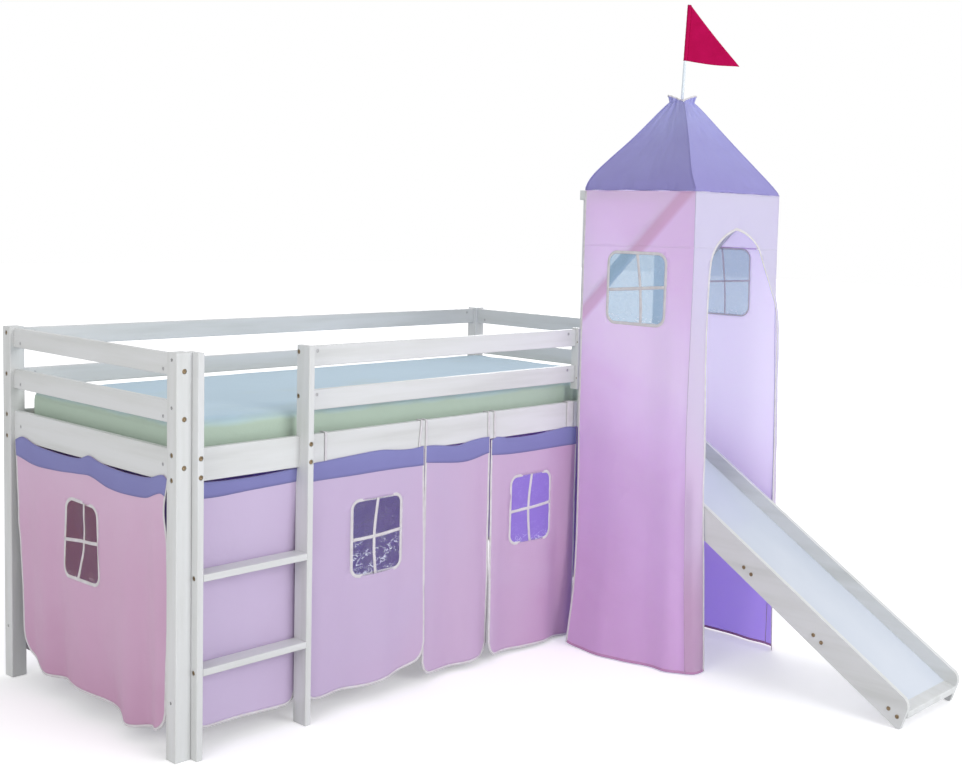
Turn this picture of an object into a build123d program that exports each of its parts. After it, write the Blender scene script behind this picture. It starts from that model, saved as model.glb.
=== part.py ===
from build123d import *
import os
from math import acos, atan2, cos, degrees, hypot, radians, sin

# A child's raised bed of painted boards, with a ladder, a slide, a cloth tower and play curtains.
# Millimetres. +X runs along the bed to the tower end, +Y to the back, +Z up from the floor.
# The origin lies on the floor, under the middle of the whole object.

# Driving sizes of the bed frame
bed_length = 2080
bed_depth = 990
bed_height = 1123
post_size = 48
board_thickness = 20
rail_height = 92
rail_drop = 265
guard_height = 60
upper_guard_drop = 5
lower_guard_drop = 134
board_rounding = 3
cleat_overlap = 25

# Driving sizes of the ladder
ladder_width = 345.5
stile_thickness = 20
stile_depth = 60
stile_stand_off = 28
lower_rung_top = 255
upper_rung_top = 518
rung_thickness = 20

# Driving sizes of the base and the mattress
ledger_size = 30
ledger_lift = 3
slat_thickness = 18
slat_width = 68
slat_count = 14
slat_end_gap = 36
mattress_end_room = 40
mattress_side_room = 45
mattress_thickness = 110
mattress_crown = 6
mattress_pinch = 9
mattress_corner = 70

# Driving sizes of the slide
passage_width = 374
slide_left_gap = 14
slide_right_gap = 4
slide_run = 1272
slide_lift = 37.42
slide_board_height = 97
slide_board_thickness = 16
chute_drop = 48.5
chute_thickness = 5
batten_width = 66
batten_thickness = 19.5
batten_count = 5
first_batten = 35
batten_spacing = 317
foot_flat = 12.4
slide_end_lean = 18
slide_end_radius = 34
foot_radius = 4
hook_lip = 7
hook_drop = 24
header_thickness = 18
header_height = 46
header_bolt_inset = 50
exit_start = 41
exit_rise = 13.4
exit_front_top = 2
exit_front_foot = -6.6

# Driving sizes of the tower frame
tower_height = 1612
tower_reach = 490
tower_post_thickness = 20
tower_post_depth = 44
right_post_shift = 16
arm_thickness = 18
arm_height = 34
bar_thickness = 18
brace_width = 40
brace_foot_height = 1168
brace_reach = 415
pole_bar_place = 224
tower_side_bolt_drops = (223, 103)

# Driving sizes of the cloth
cloth_thickness = 2
seat_gap = 0.3
sewn_gap = 0.3
top_fold = 0.3
cloth_rear_inset = 26
tower_hem = 8
wall_flare = 40
wall_bulge = 8
corner_flare = 15
corner_throw = 52
strip_curl = 12
arch_half_width = 157
arch_spring = 1356
arch_rise = 135
roof_height = 316
collar_size = 64
collar_height = 24
collar_shift = 16
collar_drift = 4
tower_window_size = 236
tower_window_height = 1276
tower_window_radius = 34
curtain_lap = 10
curtain_band = 64
curtain_hem = 66
curtain_end_gap = 8
fold_depths = (top_fold, 1.5, 3.5, 5.5)
back_folds = 16
flap_width = 287
flap_share = 0.5139
flap_side_gap = 11
window_width = 192
window_height = 232
window_radius = 30
window_rise_share = 0.665

# Driving sizes of the flag
pole_radius = 5
pole_length = 690
pole_shift = 12
pole_socket = 30
pole_lean_x = 0.0252
pole_lean_y = -0.0315
flag_height = 196
flag_length = 191
flag_droop = 17
flag_sleeve = 2
flag_course_shares = (0.66, -0.75, -0.04)

# Sizes of the fasteners
bolt_radius = 3
bolt_head_radius = 6.5
bolt_head_height = 3.5
bolt_sinking = 5
bolt_seat_radius = 7.5
bolt_clearance = 0.4
nut_radius = 5
head_sides = 12
nut_sides = 8
shank_sides = 6
nut_set_back = 40
bolt_tail = 2
screw_depth = 30
spare_hole_depth = 18
spare_hole_height = 164
button_height = 2.2
turn_clearance = 0.05

# One overrun serves all cuts
overrun = 10

# The slide's slope: its side boards pass over the front rail by the slide's lift
rail_top = bed_height - rail_drop
rail_foot = rail_top - rail_height
setback = (post_size - board_thickness) / 2
slide_going = slide_run + setback
slide_rise = rail_top + slide_lift
slide_angle = degrees(
    acos(slide_board_height / hypot(slide_rise, slide_going)) - atan2(slide_going, slide_rise)
)

# Where the slide ends, so that the whole object is centred over the origin
slope_x = cos(radians(slide_angle))
slope_z = sin(radians(slide_angle))
end_turn = radians(slide_angle - slide_end_lean)
end_centre_height = slide_board_height - slide_end_radius
end_centre_run = (
    foot_flat * cos(radians(slide_end_lean)) - slide_end_radius - end_centre_height * sin(end_turn)
) / cos(end_turn)
slide_reach = slide_run + end_centre_run * slope_x + end_centre_height * slope_z + slide_end_radius

# Main faces of the bed
wall_out = seat_gap + cloth_thickness + top_fold
tower_overhang = tower_post_thickness + arm_thickness + wall_out + wall_bulge
left = -(bed_length + tower_overhang) / 2
right = left + bed_length
front = (slide_reach - bed_depth) / 2
back = front + bed_depth
rail_front = front + setback
rail_back = rail_front + board_thickness
inner_left = left + post_size
inner_right = right - post_size
end_left = left + setback
end_right = right - setback

# Main faces of the tower
tower_post_right_face = inner_right - passage_width
tower_post_left_face = tower_post_right_face - tower_post_thickness
arm_left_outer = tower_post_left_face - arm_thickness
arm_right_inner = right + tower_post_thickness
arm_right_outer = arm_right_inner + arm_thickness
tower_front = front - tower_reach
arm_foot = tower_height - arm_height
tower_middle = (arm_left_outer + arm_right_outer) / 2

# Heights of the boards that run round the bed
upper_guard = (bed_height - upper_guard_drop - guard_height, bed_height - upper_guard_drop)
lower_guard = (bed_height - lower_guard_drop - guard_height, bed_height - lower_guard_drop)
low_rail = (rail_foot, rail_top)

# Heights of the bolts: those along the bed sit high in a guard, those across it sit low
guard_bolt_inset = 15
rail_bolt_inset = 12
stile_bolt_inset = 20
upper_bolt = upper_guard[1] - guard_bolt_inset
lower_bolt = lower_guard[1] - guard_bolt_inset
rail_bolts = (rail_top - rail_bolt_inset, rail_foot + rail_bolt_inset)
stile_bolts = (rail_top - stile_bolt_inset, rail_foot + stile_bolt_inset)
upper_cross_bolt = upper_guard[0] + guard_bolt_inset
lower_cross_bolt = lower_guard[0] + guard_bolt_inset
rail_cross_bolt = (rail_top + rail_foot) / 2
tower_side_bolts = [bed_height - drop for drop in tower_side_bolt_drops]

os.makedirs("parts", exist_ok=True)


def save(piece, name):
    """Label a finished piece and write it."""
    piece.part.label = name
    export_step(piece.part, f"parts/{name}.step")


def outward(spot, direction):
    """A plane on a face, its normal pointing out of the wood."""
    return Plane(origin=spot, z_dir=direction)


def planed(builder, x, y, z, grain):
    """A planed board between two faces each way, its long edges rounded."""
    with Locations(((x[0] + x[1]) / 2, (y[0] + y[1]) / 2, (z[0] + z[1]) / 2)):
        Box(x[1] - x[0], y[1] - y[0], z[1] - z[0])
    fillet(builder.edges().filter_by(grain), board_rounding)


def bore(planes, radius, sides, depth):
    """Bores of a few sides, which the fasteners in them share."""
    with BuildSketch(*planes) as bores:
        RegularPolygon(radius, sides)
    extrude(bores.sketch, amount=-depth, mode=Mode.SUBTRACT)


def through_holes(planes):
    """Holes with a sunk seat for a bolt head, right through the board."""
    bore(planes, bolt_radius + bolt_clearance, shank_sides, post_size + overrun)
    bore(planes, bolt_seat_radius, head_sides, bolt_sinking)


def end_holes(planes, depth):
    """Blind holes for bolts in the ends of a board."""
    bore(planes, bolt_radius + bolt_clearance, shank_sides, depth)


bolt_places = []
nut_places = []


def bolt_in(spot, direction, grip):
    """Note a bolt with its head sunk at a spot, and give back the plane of its hole."""
    plane = outward(spot, direction)
    bolt_places.append((plane, grip))
    return plane


# Corner posts: square posts, drilled for the long rails and, lower by half a guard, for the end rails
long_bolt = post_size + nut_set_back + nut_radius
side_bolt_y = front + post_size / 6
for side, depth_side in (("left", "front"), ("right", "front"), ("left", "back"), ("right", "back")):
    x_face = left if side == "left" else right
    y_face = front if depth_side == "front" else back
    x_out = -1 if side == "left" else 1
    y_out = -1 if depth_side == "front" else 1
    x_middle = x_face - x_out * post_size / 2
    y_middle = y_face - y_out * post_size / 2
    long_heights = rail_bolts if depth_side == "front" else (upper_bolt, lower_bolt) + rail_bolts
    cross_heights = (upper_cross_bolt, lower_cross_bolt, rail_cross_bolt)
    spare_heights = (spare_hole_height,)
    if depth_side == "front":
        spare_heights = (upper_bolt, lower_bolt, spare_hole_height)
    with BuildPart() as post:
        planed(
            post,
            sorted((x_face, x_face - x_out * post_size)),
            sorted((y_face, y_face - y_out * post_size)),
            (0, bed_height),
            Axis.Z,
        )
        chamfer(post.faces().sort_by(Axis.Z)[-1].edges(), board_rounding / 2)
        through_holes([bolt_in((x_face, y_middle, z), (x_out, 0, 0), long_bolt) for z in long_heights])
        through_holes([bolt_in((x_middle, y_face, z), (0, y_out, 0), long_bolt) for z in cross_heights])
        bore([outward((x_face, y_middle, z), (x_out, 0, 0)) for z in spare_heights],
             nut_radius, head_sides, spare_hole_depth)
        if (side, depth_side) == ("right", "front"):
            end_holes([outward((right, side_bolt_y, z), (1, 0, 0)) for z in tower_side_bolts],
                      screw_depth + bolt_tail)
    save(post, f"post_{depth_side}_{side}")


def nut_spots(origins, direction, bolt_course):
    """Note the barrel nuts on a board's face, and give back the planes of their holes."""
    planes = [Plane(origin=origin, x_dir=bolt_course, z_dir=direction) for origin in origins]
    nut_places.extend(planes)
    return planes


def long_board(name, x, y, z, bolt_heights, face_holes=()):
    """A board along the bed, with end holes and cross holes for its barrel nuts."""
    middle = (y[0] + y[1]) / 2
    with BuildPart() as piece:
        planed(piece, x, y, z, Axis.X)
        for end, x_end in ((-1, x[0]), (1, x[1])):
            end_holes([outward((x_end, middle, h), (end, 0, 0)) for h in bolt_heights],
                      nut_set_back + nut_radius + bolt_tail)
            x_nut = x_end - end * nut_set_back
            bore(nut_spots([(x_nut, y[0], h) for h in bolt_heights], (0, -1, 0), (1, 0, 0)),
                 nut_radius + bolt_clearance, nut_sides, board_thickness + overrun)
        if face_holes:
            end_holes([outward(spot, (0, -1, 0)) for spot in face_holes], board_thickness)
    save(piece, name)


def end_board(name, x, y, z, bolt_height):
    """A board across the bed, with end holes and cross holes for its barrel nuts."""
    middle = (x[0] + x[1]) / 2
    with BuildPart() as piece:
        planed(piece, x, y, z, Axis.Y)
        for end, y_end in ((-1, y[0]), (1, y[1])):
            end_holes([outward((middle, y_end, bolt_height), (0, end, 0))],
                      nut_set_back + nut_radius + bolt_tail)
            y_nut = y_end - end * nut_set_back
            bore(nut_spots([(x[0], y_nut, bolt_height)], (-1, 0, 0), (0, 1, 0)),
                 nut_radius + bolt_clearance, nut_sides, board_thickness + overrun)
    save(piece, name)


# Ladder stiles: boards on edge, stepped over the front rail and bolted to it from the front
ladder_left = inner_left
ladder_right = ladder_left + stile_thickness + ladder_width
stile_front = front - stile_stand_off
stile_back = stile_front + stile_depth
rung_bolt_y = stile_front + stile_depth * 0.3
rung_heights = (lower_rung_top - rung_thickness / 2, upper_rung_top - rung_thickness / 2)
stile_bolt = rail_front - stile_front + board_thickness - bolt_tail
rung_bolt = stile_thickness + screw_depth
guard_bolt = stile_thickness + nut_set_back + nut_radius
guard_middle = (rail_front + rail_back) / 2
for name, x, out in (
    ("left", (ladder_left, ladder_left + stile_thickness), -1),
    ("right", (ladder_right, ladder_right + stile_thickness), 1),
):
    x_middle = (x[0] + x[1]) / 2
    x_outer = x[0] if out < 0 else x[1]
    with BuildPart() as stile:
        planed(stile, x, (stile_front, stile_back), (0, bed_height), Axis.Z)
        with BuildSketch(Plane.YZ.offset(x[0] - overrun)):
            with Locations((rail_front, rail_foot)):
                Rectangle(stile_depth, rail_height, align=(Align.MIN, Align.MIN))
        extrude(amount=stile_thickness + 2 * overrun, mode=Mode.SUBTRACT)
        through_holes([bolt_in((x_middle, stile_front, z), (0, -1, 0), stile_bolt) for z in stile_bolts])
        through_holes([bolt_in((x_outer, rung_bolt_y, z), (out, 0, 0), rung_bolt) for z in rung_heights])
        if out > 0:
            through_holes([bolt_in((x[0], guard_middle, z), (-1, 0, 0), guard_bolt)
                           for z in (upper_bolt, lower_bolt)])
    save(stile, f"ladder_stile_{name}")

# Rungs: flat treads as deep as the stiles
rung_left = ladder_left + stile_thickness
for name, top in (("lower", lower_rung_top), ("upper", upper_rung_top)):
    with BuildPart() as rung:
        planed(rung, (rung_left, ladder_right), (stile_front, stile_back),
               (top - rung_thickness, top), Axis.X)
        end_holes([outward((rung_left, rung_bolt_y, top - rung_thickness / 2), (-1, 0, 0)),
                   outward((ladder_right, rung_bolt_y, top - rung_thickness / 2), (1, 0, 0))],
                  screw_depth + bolt_tail)
    save(rung, f"ladder_rung_{name}")

# The slide takes up the passage beside the tower post, between two side boards
slide_left = tower_post_right_face + slide_left_gap
slide_right = inner_right - slide_right_gap
channel_left = slide_left + slide_board_thickness
channel_right = slide_right - slide_board_thickness
slide_foot = front - slide_run
batten_level = slide_board_height - chute_drop - chute_thickness


def height_over(y, v):
    """The height at which a line along the slope, v above its foot, crosses a place y."""
    return (v + (y - slide_foot) * slope_z) / slope_x


header_front = rail_front - header_thickness
header_top = height_over(header_front, batten_level)
header_bolt_height = header_top - header_height / 2
header_bolts = (channel_left + header_bolt_inset, channel_right - header_bolt_inset)

# Side rails, the front one also drilled for the ladder, the tower post and the head of the slide
rail_y = {"front": (rail_front, rail_back), "back": (back - setback - board_thickness, back - setback)}
stile_middles = (ladder_left + stile_thickness / 2, ladder_right + stile_thickness / 2,
                 (tower_post_left_face + tower_post_right_face) / 2)
rail_face_holes = [(x, rail_front, z) for x in stile_middles for z in stile_bolts]
rail_face_holes += [(x, rail_front, header_bolt_height) for x in header_bolts]
long_board("side_rail_front", (inner_left, inner_right), rail_y["front"], low_rail, rail_bolts,
           rail_face_holes)
long_board("side_rail_back", (inner_left, inner_right), rail_y["back"], low_rail, rail_bolts)

# Guard rails: two boards along the back, and two on the front from the ladder to the tower
guard_end = arm_left_outer
long_board("guard_rail_back_upper", (inner_left, inner_right), rail_y["back"], upper_guard, (upper_bolt,))
long_board("guard_rail_back_lower", (inner_left, inner_right), rail_y["back"], lower_guard, (lower_bolt,))
guard_start = ladder_right + stile_thickness
long_board("guard_rail_front_upper", (guard_start, guard_end), rail_y["front"], upper_guard, (upper_bolt,))
long_board("guard_rail_front_lower", (guard_start, guard_end), rail_y["front"], lower_guard, (lower_bolt,))

# Cleat: the short upright that joins the ends of the front guards to the tower post
cleat_bolt_y = (front + rail_front) / 2
cleat_bolts = (upper_cross_bolt, lower_cross_bolt)
with BuildPart() as cleat:
    planed(cleat, (guard_end, tower_post_left_face), (front, rail_back),
           (lower_guard[0] - cleat_overlap, bed_height), Axis.Z)
    through_holes([bolt_in((tower_post_left_face, guard_middle, z), (1, 0, 0),
                           arm_thickness + nut_set_back + nut_radius) for z in (upper_bolt, lower_bolt)])
    end_holes([outward((tower_post_left_face, cleat_bolt_y, z), (1, 0, 0)) for z in cleat_bolts],
              arm_thickness)
save(cleat, "guard_end_cleat")

# End rails: a low rail and two guards at each end of the bed
cross_span = (front + post_size, back - post_size)
for side, x in (("left", (end_left, end_left + board_thickness)),
                ("right", (end_right - board_thickness, end_right))):
    end_board(f"end_rail_{side}_low", x, cross_span, low_rail, rail_cross_bolt)
    end_board(f"end_rail_{side}_middle", x, cross_span, lower_guard, lower_cross_bolt)
    end_board(f"end_rail_{side}_upper", x, cross_span, upper_guard, upper_cross_bolt)

# Ledgers: square strips inside the side rails, which carry the slats
ledger_foot = rail_foot + ledger_lift
ledger_top = ledger_foot + ledger_size
for name, y in (("front", (rail_back, rail_back + ledger_size)),
                ("back", (rail_y["back"][0] - ledger_size, rail_y["back"][0]))):
    with BuildPart() as ledger:
        planed(ledger, (inner_left, inner_right), y, (ledger_foot, ledger_top), Axis.X)
    save(ledger, f"slat_ledger_{name}")

# Slats: evenly spaced boards across the ledgers
slat_top = ledger_top + slat_thickness
slat_span = rail_y["back"][0] - rail_back
slat_pitch = (inner_right - inner_left - slat_width - 2 * slat_end_gap) / (slat_count - 1)
with BuildPart() as slats:
    with Locations(((left + right) / 2, (front + back) / 2, (ledger_top + slat_top) / 2)):
        with GridLocations(slat_pitch, 0, slat_count, 1):
            Box(slat_width, slat_span, slat_thickness)
save(slats, "bed_slats")


# Mattress: rounded corners, sides drawn in between the welts, and a low crown
mattress_length = bed_length - 2 * mattress_end_room
mattress_width = bed_depth - 2 * mattress_side_room


def mattress_level(height, inset):
    with BuildSketch(Plane((0, 0, slat_top + height))) as level:
        with Locations(((left + right) / 2, (front + back) / 2)):
            RectangleRounded(mattress_length - 2 * inset, mattress_width - 2 * inset,
                             mattress_corner - inset)
    return level.sketch


mattress_levels = (
    (0, mattress_pinch),
    (mattress_pinch, 0),
    (mattress_thickness / 2, mattress_pinch),
    (mattress_thickness - mattress_pinch, 0),
    (mattress_thickness, mattress_pinch),
    (mattress_thickness + mattress_crown, mattress_corner * 0.8),
)
with BuildPart() as mattress:
    loft([mattress_level(height, inset) for height, inset in mattress_levels], ruled=True)
save(mattress, "mattress")

# Slide: its under edge meets the floor at slide_foot, and all its pieces are drawn on the slope,
# u along it from that point and v square to it
chute_height = slide_board_height - chute_drop
batten_bolt_level = batten_level - batten_thickness / 2
slope_up = (0, slope_x, slope_z)


def slope_plane(x):
    """The side view of the slide at one place across its width."""
    return Plane(origin=(x, slide_foot, 0), x_dir=slope_up, z_dir=(1, 0, 0))


def on_slope(y, z):
    """The place along and above the slope of a point of the side view."""
    return ((y - slide_foot) * slope_x + z * slope_z, z * slope_x - (y - slide_foot) * slope_z)


def from_slope(u, v):
    """The y and z of a place on the slope."""
    return (slide_foot + u * slope_x - v * slope_z, u * slope_z + v * slope_x)


# The raked front end of a board runs from the floor to the top edge
lean_run = (slide_board_height - foot_flat * slope_z) / cos(end_turn)
toe = on_slope(slide_foot - foot_flat, 0)
nose = (toe[0] + lean_run * sin(end_turn), slide_board_height)
hook_back = rail_back + seat_gap + hook_lip
batten_spots = [first_batten + i * batten_spacing for i in range(batten_count)]
batten_bolt_shares = (-0.26, 0.26)
slide_bolt_places = []
for name, x, out in (("left", slide_left, -1), ("right", channel_right, 1)):
    x_outer = slide_left if out < 0 else slide_right
    with BuildPart() as side_board:
        with BuildSketch(slope_plane(x)):
            with BuildLine():
                Polyline(
                    (0, 0),
                    toe,
                    nose,
                    on_slope(hook_back, height_over(hook_back, slide_board_height)),
                    on_slope(hook_back, rail_top - hook_drop),
                    on_slope(rail_back + seat_gap, rail_top - hook_drop),
                    on_slope(rail_back + seat_gap, rail_top + seat_gap),
                    on_slope(rail_front - seat_gap, rail_top + seat_gap),
                    on_slope(rail_front - seat_gap, height_over(rail_front - seat_gap, 0)),
                    close=True,
                )
            make_face()
        extrude(amount=slide_board_thickness)
        nose_edge = side_board.edges().filter_by(Axis.X).sort_by_distance((x, *from_slope(*nose)))[0]
        fillet(nose_edge, slide_end_radius)
        toe_edge = side_board.edges().filter_by(Axis.X).sort_by_distance((x, *from_slope(*toe)))[0]
        fillet(toe_edge, foot_radius)
        spots = [outward((x_outer, *from_slope(u + share * batten_width, batten_bolt_level)), (out, 0, 0))
                 for u in batten_spots for share in batten_bolt_shares]
        slide_bolt_places.extend(spots)
        bore(spots, bolt_radius + bolt_clearance, shank_sides, slide_board_thickness + overrun)
    save(side_board, f"slide_board_{name}")

# Chute: a thin smooth panel between the side boards, from the bed rail to the exit
chute_end = (rail_front - seat_gap - slide_foot + batten_level * slope_z) / slope_x
with BuildPart() as chute:
    with BuildSketch(slope_plane(channel_left)):
        with Locations((exit_start, batten_level)):
            Rectangle(chute_end - exit_start, chute_thickness, align=(Align.MIN, Align.MIN))
    extrude(amount=channel_right - channel_left)
save(chute, "slide_chute")

# Battens: five boards under the chute, bolted through the side boards
with BuildPart() as battens:
    for u in batten_spots:
        with BuildSketch(slope_plane(channel_left)):
            with Locations((u, batten_bolt_level)):
                Rectangle(batten_width, batten_thickness)
        extrude(amount=channel_right - channel_left)
    for out, x in ((-1, channel_left), (1, channel_right)):
        end_holes([outward((x, *from_slope(u + share * batten_width, batten_bolt_level)), (out, 0, 0))
                   for u in batten_spots for share in batten_bolt_shares], screw_depth)
save(battens, "slide_battens")

# Exit lip: a wedge that lets the chute run out nearly level
with BuildPart() as exit_lip:
    with BuildSketch(slope_plane(channel_left)):
        with BuildLine():
            Polyline((exit_start, batten_level), (exit_start, chute_height),
                     (exit_front_top, chute_height + exit_rise), (exit_front_foot, batten_level), close=True)
        make_face()
    extrude(amount=channel_right - channel_left)
    lip_edge = exit_lip.edges().filter_by(Axis.X).sort_by_distance(
        (channel_left, *from_slope(exit_front_top, chute_height + exit_rise)))[0]
    fillet(lip_edge, foot_radius)
save(exit_lip, "slide_exit_lip")

# Header: the board that is screwed to the bed rail and carries the top of the chute
with BuildPart() as header:
    planed(header, (channel_left, channel_right), (header_front, rail_front),
           (header_top - header_height, header_top), Axis.X)
    through_holes([bolt_in((x, header_front, header_bolt_height), (0, -1, 0),
                           header_thickness + board_thickness - bolt_tail) for x in header_bolts])
save(header, "slide_header")

# Tower posts: the left one bolted to the rail and the cleat, the right one to the bed post
left_post_y = (rail_front - tower_post_depth, rail_front)
right_post_y = (left_post_y[0] + right_post_shift, left_post_y[1] + right_post_shift)
tower_bolt = tower_post_depth + board_thickness - bolt_tail
arm_bolt = arm_thickness + tower_post_thickness - bolt_tail
arm_middle = tower_height - arm_height / 2
rear_bar_y = (rail_front - cloth_rear_inset, rail_front - cloth_rear_inset + bar_thickness)
arm_bolt_y = {"left": (left_post_y[0] + rear_bar_y[0]) / 2, "right": right_post_y[1] - post_size / 4}
side_bolt = tower_post_thickness + screw_depth
cleat_bolt = tower_post_thickness + arm_thickness - bolt_tail
with BuildPart() as tower_post:
    planed(tower_post, (tower_post_left_face, tower_post_right_face), left_post_y,
           (rail_foot, tower_height), Axis.Z)
    through_holes([bolt_in((stile_middles[2], left_post_y[0], z), (0, -1, 0), tower_bolt)
                   for z in stile_bolts])
    through_holes([bolt_in((tower_post_right_face, cleat_bolt_y, z), (1, 0, 0), cleat_bolt)
                   for z in cleat_bolts])
    end_holes([outward((tower_post_left_face, arm_bolt_y["left"], arm_middle), (-1, 0, 0))],
              tower_post_thickness)
save(tower_post, "tower_post_left")
with BuildPart() as tower_post:
    planed(tower_post, (right, arm_right_inner), right_post_y, (rail_foot, tower_height), Axis.Z)
    through_holes([bolt_in((arm_right_inner, side_bolt_y, z), (1, 0, 0), side_bolt)
                   for z in tower_side_bolts])
    end_holes([outward((arm_right_inner, arm_bolt_y["right"], arm_middle), (1, 0, 0))], tower_post_thickness)
save(tower_post, "tower_post_right")

# Arms: cantilevers that run forward outside the posts
bar_rows = {
    "front": (tower_front, tower_front + bar_thickness),
    "centre": (front - pole_bar_place - bar_thickness / 2, front - pole_bar_place + bar_thickness / 2),
    "rear": rear_bar_y,
}
bar_bolt = arm_thickness + screw_depth
for name, x, out, y_end in (("left", (arm_left_outer, tower_post_left_face), -1, left_post_y[1]),
                            ("right", (arm_right_inner, arm_right_outer), 1, right_post_y[1])):
    x_outer = x[0] if out < 0 else x[1]
    with BuildPart() as arm:
        planed(arm, x, (tower_front, y_end), (arm_foot, tower_height), Axis.Y)
        through_holes([bolt_in((x_outer, arm_bolt_y[name], arm_middle), (out, 0, 0), arm_bolt)])
        through_holes([bolt_in((x_outer, (bar_rows[row][0] + bar_rows[row][1]) / 2, arm_middle),
                               (out, 0, 0), bar_bolt) for row in ("front", "centre")])
    save(arm, f"tower_arm_{name}")

# Crossbars: front and centre between the arms, rear between the posts
pole_foot = (tower_middle - pole_shift, front - pole_bar_place, tower_height - pole_socket)
pole_plane = Plane(origin=pole_foot, z_dir=(pole_lean_x, pole_lean_y, 1))
bar_spans = {
    "front": (tower_post_left_face, arm_right_inner),
    "centre": (tower_post_left_face, arm_right_inner),
    "rear": (tower_post_right_face, right),
}
for name, y in bar_rows.items():
    span = bar_spans[name]
    middle = (y[0] + y[1]) / 2
    with BuildPart() as bar:
        planed(bar, span, y, (arm_foot, tower_height), Axis.X)
        if name != "rear":
            end_holes([outward((span[0], middle, arm_middle), (-1, 0, 0)),
                       outward((span[1], middle, arm_middle), (1, 0, 0))], screw_depth + bolt_tail)
        if name == "centre":
            with BuildSketch(pole_plane):
                Circle(pole_radius + turn_clearance)
            extrude(amount=pole_socket + overrun, mode=Mode.SUBTRACT)
    save(bar, f"tower_bar_{name}")

# Braces: flat struts in line with the arms, from the posts up to the arms
brace_rise = arm_foot - brace_foot_height
for name, x, y_post in (("left", arm_left_outer, left_post_y), ("right", arm_right_inner, right_post_y)):
    y_low = y_post[0] + tower_post_depth / 2
    y_high = y_low - brace_reach
    slant = brace_width * (brace_reach ** 2 + brace_rise ** 2) ** 0.5 / brace_rise
    with BuildPart() as brace:
        with BuildSketch(Plane.YZ.offset(x)):
            with BuildLine():
                Polyline((y_low, brace_foot_height),
                         (y_low, brace_foot_height + slant * brace_rise / brace_reach),
                         (y_high + slant, arm_foot), (y_high, arm_foot), close=True)
            make_face()
        extrude(amount=arm_thickness)
    save(brace, f"tower_brace_{name}")


# Cloth hangs in soft folds: each level is an outer and an inner line of arcs between two plan points
def cloth_level(height, start, end, shares, depth):
    """One level of a hanging sheet, its folds turning to one side and the other by turns."""
    run = (end[0] - start[0], end[1] - start[1])
    size = (run[0] ** 2 + run[1] ** 2) ** 0.5
    across = (-run[1] / size, run[0] / size)

    def spot(share, lift):
        return (start[0] + run[0] * share + across[0] * lift, start[1] + run[1] * share + across[1] * lift)

    folds = list(zip(shares, shares[1:]))
    turns = [(fold, 0, depth if i % 2 else -depth) for i, fold in enumerate(folds)]
    turns += [((last, first), cloth_thickness, side) for (first, last), _, side in reversed(turns)]
    with BuildSketch(Plane((0, 0, height))) as level:
        with BuildLine():
            for (first, last), lift, side in turns:
                ThreePointArc(spot(first, lift), spot((first + last) / 2, lift + side), spot(last, lift))
                if last in (0, 1):
                    Line(spot(last, lift), spot(last, cloth_thickness - lift))
        make_face()
    return level.sketch


def hanging_cloth(levels, shares):
    """A sheet lofted down through its levels."""
    loft([cloth_level(height, start, end, shares, depth) for height, start, end, depth in levels], ruled=True)


def trim_hem(plane, places, low):
    """Cut away what hangs below a hem that rises and falls."""
    with BuildSketch(plane) as waste:
        with BuildLine():
            hem = Spline(*places)
            Polyline(places[-1], (places[-1][0], low), (places[0][0], low), places[0])
        make_face()
    extrude(waste.sketch, amount=bed_depth, both=True, mode=Mode.SUBTRACT)


# Tower walls: three sheets sewn at the corners and to the roof, a little fuller at the hem. Their
# levels: the seam with the roof, the foot of the arch's spring, the start of the strips' turn,
# just over the slide, down beside it, and the hem
west = arm_left_outer - wall_out
east = arm_right_outer + wall_out
south = tower_front - seat_gap - cloth_thickness
wall_rear = rail_front - cloth_rear_inset
wall_top = tower_height + seat_gap
strip_top = arch_spring - arch_rise * 0.2
strip_width = tower_middle - arch_half_width - west
slide_top_here = slide_board_height / slope_x + (south - slide_foot) * slope_z / slope_x
wall_heights = (wall_top, strip_top, strip_top - strip_width, slide_top_here * 1.22,
                slide_top_here * 1.06, tower_hem)
wall_depth_shares = (0, 0, 0, 0.6, 0.65, 1)
west_flare_shares = (0, 0.08, 0.1, 0.25, 0.35, 1)
west_corner_shares = (0, 0, 0.04, 0.2, 0.3, 1)
east_out_shares = (0, 0.35, 0.4, 0.35, 0.35, 0)
east_corner_shares = (0, 0, 0.28, 0.66, 0.7, 1)
side_fold_shares = (0, 0.16, 0.38, 0.57, 0.8, 1)
corner_step = cloth_thickness + sewn_gap
west_corners = [(west - corner_flare * share, south - corner_flare * share) for share in west_corner_shares]
east_corners = [(east + wall_bulge * out, south - corner_throw * throw)
                for out, throw in zip(east_out_shares, east_corner_shares)]


def fold_depth(share):
    """How far the folds of a tower wall stand out at one level."""
    return top_fold + (wall_bulge - top_fold) * share


def west_levels():
    """The left wall, from its rear edge to the front corner."""
    for height, share, flare, corner in zip(wall_heights, wall_depth_shares, west_flare_shares, west_corners):
        yield (height, (west - wall_flare * flare, wall_rear), (corner[0], corner[1] + corner_step),
               -fold_depth(share))


def east_levels():
    """The right wall, from the front corner to its rear edge."""
    for height, share, out, corner in zip(wall_heights, wall_depth_shares, east_out_shares, east_corners):
        yield (height, (corner[0], corner[1] + corner_step), (east + wall_bulge * out, wall_rear),
               fold_depth(share))


window_plan = (wall_rear - (wall_rear - south) / 2 + tower_window_size * 0.02, tower_window_height)


def wall_window(shrink, mode):
    """The window of a side wall, cut or kept."""
    size = tower_window_size - 2 * shrink
    with BuildSketch(Plane.YZ.offset(left)) as hole:
        with Locations(window_plan):
            RectangleRounded(size, size, tower_window_radius - shrink)
    extrude(hole.sketch, amount=bed_length + 2 * tower_overhang, mode=mode)


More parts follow.
